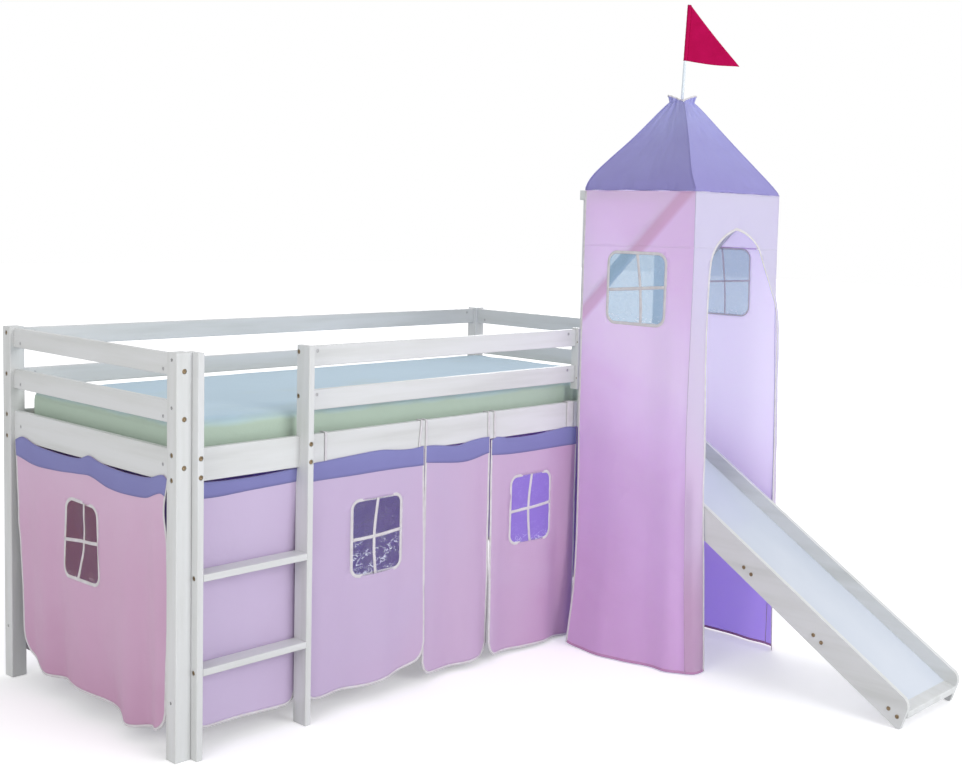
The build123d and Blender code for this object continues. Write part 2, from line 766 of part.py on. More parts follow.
with BuildPart() as west_wall:
    hanging_cloth(west_levels(), side_fold_shares)
    wall_window(0, Mode.SUBTRACT)
save(west_wall, "tower_wall_left")
with BuildPart() as east_wall:
    hanging_cloth(east_levels(), side_fold_shares)
    wall_window(0, Mode.SUBTRACT)
save(east_wall, "tower_wall_right")
with BuildPart() as west_film:
    hanging_cloth(west_levels(), side_fold_shares)
    wall_window(seat_gap, Mode.INTERSECT)
with BuildPart() as east_film:
    hanging_cloth(east_levels(), side_fold_shares)
    wall_window(seat_gap, Mode.INTERSECT)
with BuildPart() as tower_films:
    add(west_film.part)
    add(east_film.part)
save(tower_films, "tower_window_films")

# Front wall: whole above, a pointed arch in it, and below a strip each side of the way to the slide.
# The left strip turns forward beside the slide, and the right one curls towards the front
left_strip_x = slide_left - seat_gap - cloth_thickness * 2
right_strip_x = east - strip_width * 0.68
left_strip_ends = (
    (west + strip_width, south),
    (west + strip_width, south),
    (west + strip_width, south),
    (left_strip_x, south - strip_width * 0.46),
    (left_strip_x, south - strip_width * 0.72),
)
right_strip_ends = (
    (east - strip_width, south),
    (right_strip_x, south - strip_width * 0.52),
    (right_strip_x, south - strip_width * 0.56),
    (right_strip_x, south - strip_width * 0.58),
    (right_strip_x, south - strip_width * 0.76),
)
strip_curl_shares = (0, 0.2, 0.4, 0.5, 1)


strip_curls = [top_fold + strip_curl * share for share in strip_curl_shares]
left_strip = zip(wall_heights[1:], west_corners[1:], left_strip_ends, strip_curls)
right_strip = zip(wall_heights[1:], right_strip_ends, east_corners[1:], strip_curls)


with BuildPart() as front_wall:
    with BuildSketch(Plane.XZ.offset(-south - cloth_thickness)):
        with Locations((tower_middle, strip_top)):
            Rectangle(east - west, wall_top - strip_top, align=(Align.CENTER, Align.MIN))
        with BuildLine():
            arch_foot = (tower_middle - arch_half_width, strip_top)
            arch_left = (tower_middle - arch_half_width, arch_spring)
            arch_top = (tower_middle, arch_spring + arch_rise)
            arch_right = (tower_middle + arch_half_width, arch_spring)
            shoulder_left = (tower_middle - arch_half_width * 0.62, arch_spring + arch_rise * 0.66)
            shoulder_right = (tower_middle + arch_half_width * 0.62, arch_spring + arch_rise * 0.66)
            Line(arch_foot, arch_left)
            ThreePointArc(arch_left, shoulder_left, arch_top)
            ThreePointArc(arch_top, shoulder_right, arch_right)
            Polyline(arch_right, (tower_middle + arch_half_width, strip_top), arch_foot)
        make_face(mode=Mode.SUBTRACT)
    extrude(amount=cloth_thickness)
    hanging_cloth(left_strip, (0, 1))
    hanging_cloth(right_strip, (0, 1))
save(front_wall, "tower_wall_front")

# Roof: a hipped sheet, fuller over the eaves, gathered into a small square collar round the pole
roof_base = wall_top
roof_level_shares = ((0, 1, 0), (0.17, 0.86, 0.1), (1, 0, 1))
collar_centre = (tower_middle - collar_drift, (south + wall_rear) / 2 + collar_shift)


def roof_shell(inset):
    """The roof's outline at its eaves, at its fuller shoulder, and at both ends of the collar."""
    outlines = []
    for rise, spread, drift in roof_level_shares:
        width = collar_size + (east - west - collar_size) * spread - 2 * inset
        depth = collar_size + (wall_rear - south - collar_size) * spread - 2 * inset
        middle_x = tower_middle + (collar_centre[0] - tower_middle) * drift
        middle_y = (south + wall_rear) / 2 + collar_shift * drift
        with BuildSketch(Plane((0, 0, roof_base + roof_height * rise))) as outline:
            with Locations((middle_x, middle_y)):
                Rectangle(width, depth)
        outlines.append(outline.sketch)
    with BuildSketch(Plane((0, 0, roof_base + roof_height + collar_height))) as outline:
        with Locations(collar_centre):
            Rectangle(collar_size - 2 * inset, collar_size - 2 * inset)
    outlines.append(outline.sketch)
    return outlines


with BuildPart() as roof:
    loft(roof_shell(0), ruled=True)
    loft(roof_shell(cloth_thickness), ruled=True, mode=Mode.SUBTRACT)
save(roof, "tower_roof")

# Curtains hang from the rails on all sides, with a purple band along the top
curtain_top = rail_foot + curtain_lap
curtain_foot_heights = (curtain_top, curtain_top - curtain_band, (curtain_top + curtain_hem) / 2)
lowest = curtain_hem * 0.2
front_line = rail_front - seat_gap - cloth_thickness
back_line = back - setback + seat_gap
left_line = end_left - seat_gap - cloth_thickness
right_line = end_right + seat_gap
five_fold_shares = (0, 0.18, 0.41, 0.6, 0.82, 1)
six_fold_shares = (0, 0.15, 0.33, 0.48, 0.67, 0.83, 1)
nine_fold_shares = (0, 0.1, 0.23, 0.33, 0.46, 0.56, 0.68, 0.79, 0.9, 1)
many_fold_shares = tuple(i / back_folds for i in range(back_folds + 1))


def straight_levels(start, end, away):
    """Levels of a curtain that hangs straight from its rail, its folds clear of the rail's face."""
    heights = curtain_foot_heights + (lowest,)
    for height, depth in zip(heights, fold_depths):
        shift = (away[0] * depth, away[1] * depth)
        yield (height, (start[0] + shift[0], start[1] + shift[1]),
               (end[0] + shift[0], end[1] + shift[1]), depth)


# Each front panel: where it starts and ends, its lowest hem, its folds and the course of its hem
front_bay = (ladder_right + stile_thickness, tower_post_left_face)
flap_start = front_bay[0] + (front_bay[1] - front_bay[0] - flap_width) * flap_share
flap_end = flap_start + flap_width
ladder_bay = (rung_left + curtain_end_gap / 4, ladder_right - curtain_end_gap / 4)
middle_bay = (front_bay[0] + curtain_end_gap / 4, flap_start - flap_side_gap)
right_bay = (flap_end + flap_side_gap, front_bay[1] - curtain_end_gap * 1.5)
middle_hem_shares = ((0, 0.97), (0.35, 0.76), (0.7, 0.85), (0.9, 1.12), (1, 1.85))
flap_hem_shares = ((0, 0.72), (0.1, 0.44), (0.5, 0.4), (0.9, 0.46), (1, 1.1))
right_hem_shares = ((0, 0.62), (0.1, 0.4), (0.55, 0.3), (1, 0.26))
ladder_hem_shares = ((0, 1.6), (0.12, 1.2), (0.5, 0.95), (1, 0.93))
end_hem_shares = ((0, 1.25), (0.12, 0.92), (0.28, 0.66), (0.45, 0.94), (0.7, 1.05), (0.88, 1.1), (1, 1.4))


def hem_places(span, shares):
    return [(span[0] + (span[1] - span[0]) * along, curtain_hem * height) for along, height in shares]


def panel_pair(levels, shares, hem_plane, hem, window=None):
    """A panel and its top band, lofted from the same levels, so that they meet at the seam."""
    levels = list(levels)
    with BuildPart() as band:
        hanging_cloth(levels[:2], shares)
    with BuildPart() as panel:
        hanging_cloth(levels[1:], shares)
        trim_hem(hem_plane, hem, -overrun)
        if window:
            window(0, Mode.SUBTRACT)
    if not window:
        return band, panel, None
    with BuildPart() as film:
        hanging_cloth(levels[1:], shares)
        window(seat_gap, Mode.INTERSECT)
    return band, panel, film


def panel_window(plane, place):
    """A function that cuts or keeps the window of a panel at one place along it."""
    def window(shrink, mode):
        with BuildSketch(plane) as hole:
            with Locations((place, curtain_top * window_rise_share)):
                RectangleRounded(window_width - 2 * shrink, window_height - 2 * shrink,
                                 window_radius - shrink)
        extrude(hole.sketch, amount=post_size, both=True, mode=mode)
    return window


front_face = Plane.XZ.offset(-rail_front)
end_face = Plane.YZ.offset(end_left)
far_end_face = Plane.YZ.offset(end_right)

# The ladder panel starts under the rail and falls back behind the rungs
behind_rungs = stile_back + fold_depths[3] + seat_gap * 2
under_rail = (rail_front + rail_back) / 2 - cloth_thickness / 2
ladder_heights = (rail_foot - seat_gap,) + curtain_foot_heights[1:] + (lowest,)
ladder_levels = [
    (height, (ladder_bay[0], y), (ladder_bay[1], y), depth)
    for height, y, depth in zip(ladder_heights, (under_rail,) + (behind_rungs,) * 3, fold_depths)
]
ladder_band, ladder_panel, _ = panel_pair(
    ladder_levels, five_fold_shares, front_face, hem_places(ladder_bay, ladder_hem_shares))
save(ladder_panel, "curtain_ladder")

middle_window = panel_window(front_face, middle_bay[0] + (middle_bay[1] - middle_bay[0]) * 0.585)
middle_band, middle_panel, middle_film = panel_pair(
    straight_levels((middle_bay[0], front_line), (middle_bay[1], front_line), (0, -1)),
    six_fold_shares, front_face, hem_places(middle_bay, middle_hem_shares), middle_window)
save(middle_panel, "curtain_front_middle")

right_window = panel_window(front_face, right_bay[0] + (right_bay[1] - right_bay[0]) * 0.47)
right_band, right_panel, right_film = panel_pair(
    straight_levels((right_bay[0], front_line), (right_bay[1], front_line), (0, -1)),
    six_fold_shares, front_face, hem_places(right_bay, right_hem_shares), right_window)
save(right_panel, "curtain_front_right")

end_bay = (front + post_size + curtain_end_gap, back - post_size - curtain_end_gap)
end_window = panel_window(end_face, end_bay[0] + (end_bay[1] - end_bay[0]) * 0.54)
end_band, end_panel, end_film = panel_pair(
    straight_levels((left_line, end_bay[1]), (left_line, end_bay[0]), (-1, 0)),
    nine_fold_shares, end_face, hem_places(end_bay, end_hem_shares), end_window)
save(end_panel, "curtain_end_left")

far_end_band, far_end_panel, _ = panel_pair(
    straight_levels((right_line + cloth_thickness, end_bay[0]), (right_line + cloth_thickness, end_bay[1]),
                    (1, 0)),
    nine_fold_shares, far_end_face, hem_places(end_bay, end_hem_shares))
save(far_end_panel, "curtain_end_right")

back_bay = (inner_left + curtain_end_gap, inner_right - curtain_end_gap)
back_band, back_panel, _ = panel_pair(
    straight_levels((back_bay[1], back_line + cloth_thickness), (back_bay[0], back_line + cloth_thickness),
                    (0, 1)),
    many_fold_shares, front_face, hem_places(back_bay, end_hem_shares))
save(back_panel, "curtain_back")

with BuildPart() as bands:
    for piece in (ladder_band, middle_band, right_band, end_band, far_end_band, back_band):
        add(piece.part)
save(bands, "curtain_bands")
with BuildPart() as films:
    for piece in (middle_film, right_film, end_film):
        add(piece.part)
save(films, "curtain_window_films")

# Door flap: the loose panel beside the middle of the bed, which lifts on its top edge
flap_band, flap, _ = panel_pair(
    straight_levels((flap_start, front_line), (flap_end, front_line), (0, -1)),
    five_fold_shares, front_face, hem_places((flap_start, flap_end), flap_hem_shares))
save(flap, "door_flap")
save(flap_band, "door_flap_band")

# Flag pole: a round stick that stands in the centre bar and turns there
with BuildPart() as pole:
    with BuildSketch(pole_plane):
        Circle(pole_radius)
    extrude(amount=pole_length)
    chamfer(pole.faces().sort_by(Axis.Z)[-1].edges(), pole_radius / 4)
save(pole, "flag_pole")

# Flag: a pennant of felt, sewn to a sleeve that slips over the top of the pole
flag_foot = pole_length - flag_height - flag_sleeve
flag_normal = pole_plane.z_dir.cross(Vector(*flag_course_shares))
flag_plane = Plane(origin=pole_foot, x_dir=pole_plane.z_dir, z_dir=flag_normal)
sleeve_outer = pole_radius + flag_sleeve
with BuildPart() as flag:
    with BuildSketch(pole_plane.offset(flag_foot)):
        Circle(sleeve_outer)
    extrude(amount=flag_height)
    with BuildSketch(flag_plane):
        with BuildLine():
            Polyline((flag_foot, pole_radius), (flag_foot - flag_droop, flag_length),
                     (flag_foot + flag_height, sleeve_outer), (flag_foot + flag_height, pole_radius),
                     close=True)
        make_face()
    extrude(amount=flag_sleeve / 2, both=True)
    with BuildSketch(pole_plane.offset(flag_foot - flag_droop)):
        Circle(pole_radius + seat_gap / 2)
    extrude(amount=flag_height + flag_droop + overrun, mode=Mode.SUBTRACT)
save(flag, "flag")


# Bolts: a low head and a plain shank, one size for each grip
def bolt(grip, sunk):
    """A bolt lying along -Z, its head under the face when it is sunk and on the face when not."""
    head_top = -(bolt_sinking - bolt_head_height) if sunk else button_height
    seat = -bolt_sinking if sunk else 0
    with BuildPart() as piece:
        with BuildSketch(Plane.XY.offset(head_top)):
            RegularPolygon(bolt_head_radius, head_sides)
        extrude(amount=seat - head_top)
        with BuildSketch(Plane.XY.offset(seat)):
            RegularPolygon(bolt_radius, shank_sides)
        extrude(amount=-(grip + seat))
    return piece.part


with BuildPart() as bolts:
    for grip in sorted({grip for _, grip in bolt_places}):
        with Locations(*[plane for plane, own in bolt_places if own == grip]):
            add(bolt(grip, True))
save(bolts, "frame_bolts")
with BuildPart() as slide_bolts:
    with Locations(*slide_bolt_places):
        add(bolt(slide_board_thickness + screw_depth - bolt_tail, False))
save(slide_bolts, "slide_bolts")

# Barrel nuts: short nuts across the boards, bored for the bolt's tip
nut_length = board_thickness - bolt_tail
with BuildPart() as nut:
    with BuildSketch(Plane.XY.offset(-bolt_tail / 2)):
        RegularPolygon(nut_radius, nut_sides)
    extrude(amount=-nut_length)
    with BuildSketch(Plane.YZ):
        with Locations((0, -board_thickness / 2)):
            RegularPolygon(bolt_radius + bolt_clearance, shank_sides, major_radius=False)
    extrude(amount=overrun, both=True, mode=Mode.SUBTRACT)
with BuildPart() as nuts:
    with Locations(*nut_places):
        add(nut.part)
save(nuts, "barrel_nuts")
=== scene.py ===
import math

import bmesh
import bpy
from mathutils import Matrix, Vector, noise


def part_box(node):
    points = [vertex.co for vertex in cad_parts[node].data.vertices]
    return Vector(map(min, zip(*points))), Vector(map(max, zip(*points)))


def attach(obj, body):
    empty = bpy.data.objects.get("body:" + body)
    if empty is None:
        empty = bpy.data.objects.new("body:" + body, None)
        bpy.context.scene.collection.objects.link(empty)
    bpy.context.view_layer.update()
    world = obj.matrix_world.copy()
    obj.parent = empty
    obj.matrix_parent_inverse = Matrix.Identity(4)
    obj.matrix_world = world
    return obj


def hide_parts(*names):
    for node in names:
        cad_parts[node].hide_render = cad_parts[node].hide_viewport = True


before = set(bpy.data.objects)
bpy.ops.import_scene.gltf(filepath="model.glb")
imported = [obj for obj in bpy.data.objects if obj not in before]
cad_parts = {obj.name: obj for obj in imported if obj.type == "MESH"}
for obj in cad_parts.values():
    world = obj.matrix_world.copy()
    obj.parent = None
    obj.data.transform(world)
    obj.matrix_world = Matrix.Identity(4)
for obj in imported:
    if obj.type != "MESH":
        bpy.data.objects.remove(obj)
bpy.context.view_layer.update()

# Bed frame: posts, rails, guards, stiles and the tower's sticks are planed softwood, sanded and sprayed
# white. The grain still shows faintly through the paint, along each board.
bed_left, bed_front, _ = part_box("post_front_left")[0]
bed_right, bed_back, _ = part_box("post_back_right")[1]


def new_finish(name, colour, roughness, **inputs):
    """A material with one shader, whose constants are set on the shader itself."""
    finish = bpy.data.materials.new(name)
    finish.use_nodes = True
    shader = finish.node_tree.nodes["Principled BSDF"]
    shader.inputs["Base Color"].default_value = (*colour, 1)
    shader.inputs["Roughness"].default_value = roughness
    for key, value in inputs.items():
        shader.inputs[key.replace("_", " ")].default_value = value
    return finish, finish.node_tree, shader


def add_node(tree, kind, settings=(), placed=(), **named):
    """One node. Its inputs go by place or by name, and each is a value or the output that feeds it."""
    made = tree.nodes.new(kind)
    for key, value in dict(settings).items():
        setattr(made, key, value)
    given = dict(placed)
    given.update((key.replace("_", " "), value) for key, value in named.items())
    for key, value in given.items():
        if isinstance(value, bpy.types.NodeSocket):
            tree.links.new(value, made.inputs[key])
        else:
            made.inputs[key].default_value = value
    return made


def object_place(tree):
    """Where a point of the piece lies."""
    return add_node(tree, "ShaderNodeTexCoord").outputs["Object"]


def stretched_place(tree, stretch):
    """Where a point of the piece lies, scaled along each axis."""
    return add_node(tree, "ShaderNodeMapping", Vector=object_place(tree), Scale=stretch).outputs["Vector"]


def noise_value(tree, vector, scale, detail, **more):
    """Soft noise, from 0 to 1."""
    clouds = add_node(tree, "ShaderNodeTexNoise", Vector=vector, Scale=scale, Detail=detail, **more)
    return clouds.outputs["Fac"]


def ramp_colour(tree, shader, share, stops, interpolation="LINEAR"):
    """Base colour from a ramp, whose stops are a place and a tone each."""
    ramp = add_node(tree, "ShaderNodeValToRGB", Fac=share)
    bar = ramp.color_ramp
    bar.interpolation = interpolation
    for index, (place, tone) in enumerate(stops):
        stop = bar.elements[index] if index < 2 else bar.elements.new(place)
        stop.position = place
        stop.color = (*tone, 1)
    tree.links.new(ramp.outputs["Color"], shader.inputs["Base Color"])


def fine_bump(tree, shader, height, depth, strength):
    """Relief of the surface, its depth in metres."""
    bump = add_node(tree, "ShaderNodeBump", Height=height, Strength=strength, Distance=depth)
    tree.links.new(bump.outputs["Normal"], shader.inputs["Normal"])


def mottled_finish(name, colour, roughness, stretch=(1, 1, 1), clouds=None, marks=None, rough_marks=0.5,
                   **inputs):
    """A finish with clouds of close tones, given as their scale and stops, and fine marks, given as their
    noise's scale and detail and their relief's depth and strength. A stretch draws both out along a grain."""
    finish, tree, shader = new_finish(name, colour, roughness, **inputs)
    vector = stretched_place(tree, stretch)
    if clouds:
        scale, stops = clouds
        ramp_colour(tree, shader, noise_value(tree, vector, scale, 6.0), stops)
    if marks:
        scale, detail, depth, strength = marks
        fibres = noise_value(tree, vector, scale, detail, Roughness=rough_marks)
        fine_bump(tree, shader, fibres, depth, strength)
    return finish


def white_paint(name, along, roughness=0.42):
    """White lacquer over softwood, with the grain along one axis."""
    stretch = [9.0, 9.0, 9.0]
    stretch["XYZ".index(along)] = 0.7
    tones = ((0.30, (0.60, 0.61, 0.60)), (0.62, (0.69, 0.70, 0.705)), (0.46, (0.655, 0.665, 0.66)))
    return mottled_finish(name, (0.66, 0.67, 0.67), roughness, stretch, clouds=(3.0, tones),
                          marks=(14.0, 8.0, 0.0007, 0.55), rough_marks=0.7, Coat_Weight=0.12,
                          Coat_Roughness=0.3)


def paint_nodes(finish, *names):
    """Give CAD nodes their finish."""
    for name in names:
        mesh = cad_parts[name].data
        mesh.materials.clear()
        mesh.materials.append(finish)


along_x = white_paint("white_paint_along_bed", "X")
along_y = white_paint("white_paint_across_bed", "Y")
along_z = white_paint("white_paint_upright", "Z")
paint_nodes(along_z, "post_front_left", "post_front_right", "post_back_left", "post_back_right",
            "ladder_stile_left", "ladder_stile_right", "guard_end_cleat", "tower_post_left",
            "tower_post_right")
paint_nodes(along_x, "side_rail_front", "side_rail_back", "guard_rail_back_lower", "guard_rail_back_upper",
            "guard_rail_front_lower", "guard_rail_front_upper", "ladder_rung_lower", "ladder_rung_upper",
            "tower_bar_front", "tower_bar_rear", "tower_bar_centre", "slide_header")
paint_nodes(along_y, "end_rail_left_low", "end_rail_left_middle", "end_rail_left_upper",
            "end_rail_right_low", "end_rail_right_middle", "end_rail_right_upper",
            "tower_arm_left", "tower_arm_right", "tower_brace_left", "tower_brace_right")

# Slats and ledgers: sawn pine, left bare because the mattress hides them
pine_tones = ((0.32, (0.48, 0.31, 0.16)), (0.66, (0.70, 0.52, 0.31)), (0.5, (0.62, 0.44, 0.25)))
pine = mottled_finish("bare_pine", (0.62, 0.43, 0.24), 0.62, (1.2, 9.0, 9.0), clouds=(5.0, pine_tones),
                      marks=(22.0, 8.0, 0.0008, 0.6))
paint_nodes(pine, "slat_ledger_front", "slat_ledger_back", "bed_slats")

# Bolts: socket-head furniture bolts with flat bronzed heads, sunk in the posts, and low round heads on
# the slide. Each head gets its socket and a broken edge. The barrel nuts are plain steel.
bronze_tones = ((0.35, (0.20, 0.145, 0.085)), (0.65, (0.36, 0.27, 0.165)))
bronze = mottled_finish("bronzed_steel", (0.27, 0.20, 0.12), 0.36, clouds=(160.0, bronze_tones),
                        marks=(900.0, 4.0, 0.0001, 0.4), Metallic=0.85)
head_area = math.pi * 0.0065 ** 2
socket_rim = 0.0034
socket_depth = 0.0018


def activate(piece):
    """Make one piece the active one and the only one selected."""
    bpy.ops.object.select_all(action="DESELECT")
    bpy.context.view_layer.objects.active = piece
    piece.select_set(True)


def edit(piece):
    """Open one piece for editing, with everything selected."""
    activate(piece)
    bpy.ops.object.mode_set(mode="EDIT")
    bpy.ops.mesh.select_all(action="SELECT")


def done():
    """Leave a piece with nothing selected."""
    bpy.ops.mesh.select_all(action="DESELECT")
    bpy.ops.object.mode_set(mode="OBJECT")


def bevelled(piece, name, width, segments, degrees):
    """Round the edges of a piece that turn by more than an angle."""
    bevel = piece.modifiers.new(name, "BEVEL")
    bevel.width = width
    bevel.segments = segments
    bevel.limit_method = "ANGLE"
    bevel.angle_limit = math.radians(degrees)


def apply_modifiers(piece):
    """Apply every modifier of a piece in order."""
    activate(piece)
    for modifier in list(piece.modifiers):
        bpy.ops.object.modifier_apply(modifier=modifier.name)


def socket_heads(node, name, edge):
    """A copy of a CAD node's bolts, its triangles joined into plain faces, with a socket in every head."""
    piece = bpy.data.objects.new(name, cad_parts[node].data.copy())
    bpy.context.collection.objects.link(piece)
    edit(piece)
    bpy.ops.mesh.remove_doubles(threshold=0.00002)
    bpy.ops.mesh.dissolve_limited(angle_limit=math.radians(2))
    done()
    for face in piece.data.polygons:
        if 0.9 * head_area < face.area < 1.02 * head_area:
            face.select = True
    bpy.ops.object.mode_set(mode="EDIT")
    bpy.ops.mesh.select_mode(type="FACE")
    bpy.ops.mesh.inset(thickness=socket_rim, use_individual=True)
    bpy.ops.mesh.extrude_faces_move(TRANSFORM_OT_shrink_fatten={"value": -socket_depth})
    bpy.ops.object.mode_set(mode="OBJECT")
    bevelled(piece, "broken_edge", edge, 2, 50)
    apply_modifiers(piece)
    bpy.ops.object.shade_smooth_by_angle(angle=math.radians(40))
    piece.data.materials.clear()
    piece.data.materials.append(bronze)
    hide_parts(node)
    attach(piece, "frame")


socket_heads("frame_bolts", "frame_bolts_turned", 0.0004)
socket_heads("slide_bolts", "slide_bolts_turned", 0.0009)
nut_steel = mottled_finish("nut_steel", (0.50, 0.50, 0.51), 0.38, marks=(700.0, 3.0, 0.0001, 0.5),
                           Metallic=1.0)
paint_nodes(nut_steel, "barrel_nuts")

# Slide: two deep painted side boards with a hard glossy chute laid between them on battens, and a
# wedge at its foot. The boards' wide faces are smoother than the bed's.
slide_paint = white_paint("slide_paint", "Y", roughness=0.30)
paint_nodes(slide_paint, "slide_board_left", "slide_board_right", "slide_battens", "slide_exit_lip")
chute_tones = ((0.3, (0.59, 0.645, 0.73)), (0.7, (0.68, 0.72, 0.79)))
chute_gloss = mottled_finish("chute_gloss", (0.64, 0.68, 0.77), 0.26, (1.0, 0.35, 1.0),
                             clouds=(3.0, chute_tones), marks=(60.0, 6.0, 0.00015, 0.25))
paint_nodes(chute_gloss, "slide_chute")

# Mattress: a foam block in a thin cover, blue-white on top and pale green at the sides, a little slack,
# so that it wrinkles near its edges. It swells in a short cloth simulation.


def maths(tree, operation, *terms):
    """A number worked out from values and outputs."""
    return add_node(tree, "ShaderNodeMath", {"operation": operation}, dict(enumerate(terms))).outputs["Value"]


def ranged(tree, value, low, high, start=0.0, end=1.0):
    """A number brought from one range into another."""
    made = add_node(tree, "ShaderNodeMapRange", Value=value, From_Min=low, From_Max=high, To_Min=start,
                    To_Max=end)
    return made.outputs["Result"]


def height_value(tree):
    """How high a point of the piece lies."""
    return add_node(tree, "ShaderNodeSeparateXYZ", Vector=object_place(tree)).outputs["Z"]


green_to = 0.918
blue_from = 0.945
cover, cover_tree, cover_shader = new_finish("mattress_cover", (0.50, 0.62, 0.62), 0.85, Sheen_Weight=0.25)
cover_place = object_place(cover_tree)
cover_edge = maths(cover_tree, "MULTIPLY_ADD", noise_value(cover_tree, cover_place, 5.0, 3.0), 0.03,
                   height_value(cover_tree))
ramp_colour(cover_tree, cover_shader, ranged(cover_tree, cover_edge, green_to, blue_from),
            ((0.0, (0.45, 0.56, 0.46)), (1.0, (0.45, 0.62, 0.74))))
cover_weave = noise_value(cover_tree, cover_place, 900.0, 2.0)
cover_creases = noise_value(cover_tree, cover_place, 9.0, 5.0, Distortion=1.2)
cover_relief = maths(cover_tree, "MULTIPLY_ADD", cover_weave, 0.08, cover_creases)
fine_bump(cover_tree, cover_shader, cover_relief, 0.004, 0.5)

mattress_low, mattress_high = (Vector(corner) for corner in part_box("mattress"))
mattress_size = mattress_high - mattress_low
mattress_middle = (mattress_low + mattress_high) / 2
mattress_crown = 0.006
mattress_play = 0.012
mattress_corner = 0.064
most_swell = 0.006
rim_round = 0.016
cloth_grain = 0.014
side_strip = 0.012
edge_reach = 0.16
cloth_frames = 14
bpy.ops.mesh.primitive_cube_add(size=1, location=(0, 0, 0))
mattress = bpy.context.object
mattress.name = "mattress_pad"
edit(mattress)
bpy.ops.transform.resize(value=(mattress_size.x - mattress_play, mattress_size.y - mattress_play,
                                mattress_size.z - mattress_crown - mattress_play))
done()
for edge in mattress.data.edges:
    a, b = (mattress.data.vertices[i].co for i in edge.vertices)
    edge.select = abs(a.z - b.z) > 0.05
bpy.ops.object.mode_set(mode="EDIT")
bpy.ops.mesh.select_mode(type="EDGE")
bpy.ops.mesh.bevel(offset=mattress_corner, segments=8)
done()
bevelled(mattress, "rims", rim_round, 3, 60)
even = mattress.modifiers.new("even", "REMESH")
even.mode = "VOXEL"
even.voxel_size = cloth_grain
apply_modifiers(mattress)
edit(mattress)
bpy.ops.transform.translate(value=(mattress_middle.x, mattress_middle.y,
                                   mattress_low.z + (mattress_size.z - mattress_crown) / 2))
bpy.ops.object.mode_set(mode="OBJECT")
mattress_start = [v.co.copy() for v in mattress.data.vertices]
slack = mattress.modifiers.new("slack_cover", "CLOTH")
slack.settings.quality = 5
slack.settings.mass = 0.3
slack.settings.tension_stiffness = 12
slack.settings.compression_stiffness = 8
slack.settings.bending_stiffness = 0.6
slack.settings.use_pressure = True
slack.settings.uniform_pressure_force = 3
slack.settings.shrink_min = -0.012
slack.settings.effector_weights.gravity = 0
slack.point_cache.frame_start = 1
slack.point_cache.frame_end = cloth_frames
for step in range(1, cloth_frames + 1):
    bpy.context.scene.frame_set(step)
apply_modifiers(mattress)
bpy.context.scene.frame_set(1)
for vertex, start in zip(mattress.data.vertices, mattress_start):
    move = vertex.co - start
    if move.length > most_swell:
        move *= most_swell / move.length
    place = start + move
    edge_gap = min(place.x - mattress_low.x, mattress_high.x - place.x,
                   place.y - mattress_low.y, mattress_high.y - place.y)
    near_edge = max(0.0, 1 - edge_gap / edge_reach)
    top_share = max(0.0, (place.z - mattress_middle.z) / (mattress_size.z / 2))
    ripple = noise.noise(Vector((place.x * 9, place.y * 9, place.z * 16)))
    crease = noise.noise(Vector((place.x * 4, place.y * 13, 3.1)))
    place.z += top_share * (mattress_crown * (1 - near_edge) - 0.004 * near_edge * abs(ripple))
    if edge_gap < side_strip:
        inward = (mattress_middle - place)
        inward.z = 0
        place += inward.normalized() * (0.003 + 0.004 * abs(crease) + 0.003 * (1 - abs(2 * top_share - 1)))
    place.z = min(max(place.z, mattress_low.z), mattress_high.z)
    vertex.co = place
smooth = mattress.modifiers.new("soft_corners", "SUBSURF")
smooth.levels = 1
smooth.render_levels = 1
apply_modifiers(mattress)
bpy.ops.object.shade_smooth()
mattress.data.materials.clear()
mattress.data.materials.append(cover)
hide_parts("mattress")
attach(mattress, "mattress")

# Play curtains: thin cotton, pink outside and lavender inside, each with a purple band along its top and
# white tape along its edges, and some with a film window. Ties hold those along the bed's sides, apart
# from the ladder's, which hangs behind the rungs.
tape_width = 0.0085
tape_half = 0.0014
tape_section = ((-0.5, 0), (-0.38, 1), (0.38, 1), (0.5, 0), (0.38, -1), (-0.38, -1))
tape_step = 0.012
cloth_thickness = 0.0012
cloth_step = 0.0105


def along_value(tree, place, axis):
    """How far a place lies along an axis."""
    dot = add_node(tree, "ShaderNodeVectorMath", {"operation": "DOT_PRODUCT"}, {0: place, 1: axis})
    return dot.outputs["Value"]


def thread_band(tree, threads, direction):
    """The threads of a plain weave that run one way."""
    wave = add_node(tree, "ShaderNodeTexWave", {"wave_type": "BANDS", "bands_direction": direction},
                    Vector=threads, Scale=380.0, Distortion=0.6)
    return wave.outputs["Fac"]


def cloth_finish(name, tones, run, drift, axis=(0, 0, 1), glow=0.0, depth=0.0018, **inputs):
    """Plain-woven cotton. Its tone drifts along an axis between two places, with cloudy patches, and light
    comes through it where it is thin."""
    finish, tree, shader = new_finish(name, tones[0], 0.85, Subsurface_Weight=glow,
                                      Subsurface_Radius=(1.0, 0.9, 1.0), Subsurface_Scale=depth,
                                      Specular_IOR_Level=0.25, Sheen_Weight=0.06, Sheen_Roughness=0.5,
                                      **inputs)
    place = object_place(tree)
    cloud = noise_value(tree, place, 3.4, 3.0, Distortion=0.5)
    drifted = maths(tree, "MULTIPLY_ADD", cloud, drift, along_value(tree, place, axis))
    share = ranged(tree, drifted, run[0] + drift / 2, run[1] + drift / 2)
    stops = [(index / (len(tones) - 1), tone) for index, tone in enumerate(tones)]
    ramp_colour(tree, shader, share, stops, interpolation="EASE")
    threads = add_node(tree, "ShaderNodeUVMap", {"uv_map": "threads"}).outputs["UV"]
    woven = maths(tree, "ADD", thread_band(tree, threads, "X"), thread_band(tree, threads, "Y"))
    creases = noise_value(tree, threads, 7.0, 6.0, Distortion=1.6)
    fine_bump(tree, shader, maths(tree, "MULTIPLY_ADD", woven, 0.03, creases), 0.006, 0.35)
    return finish


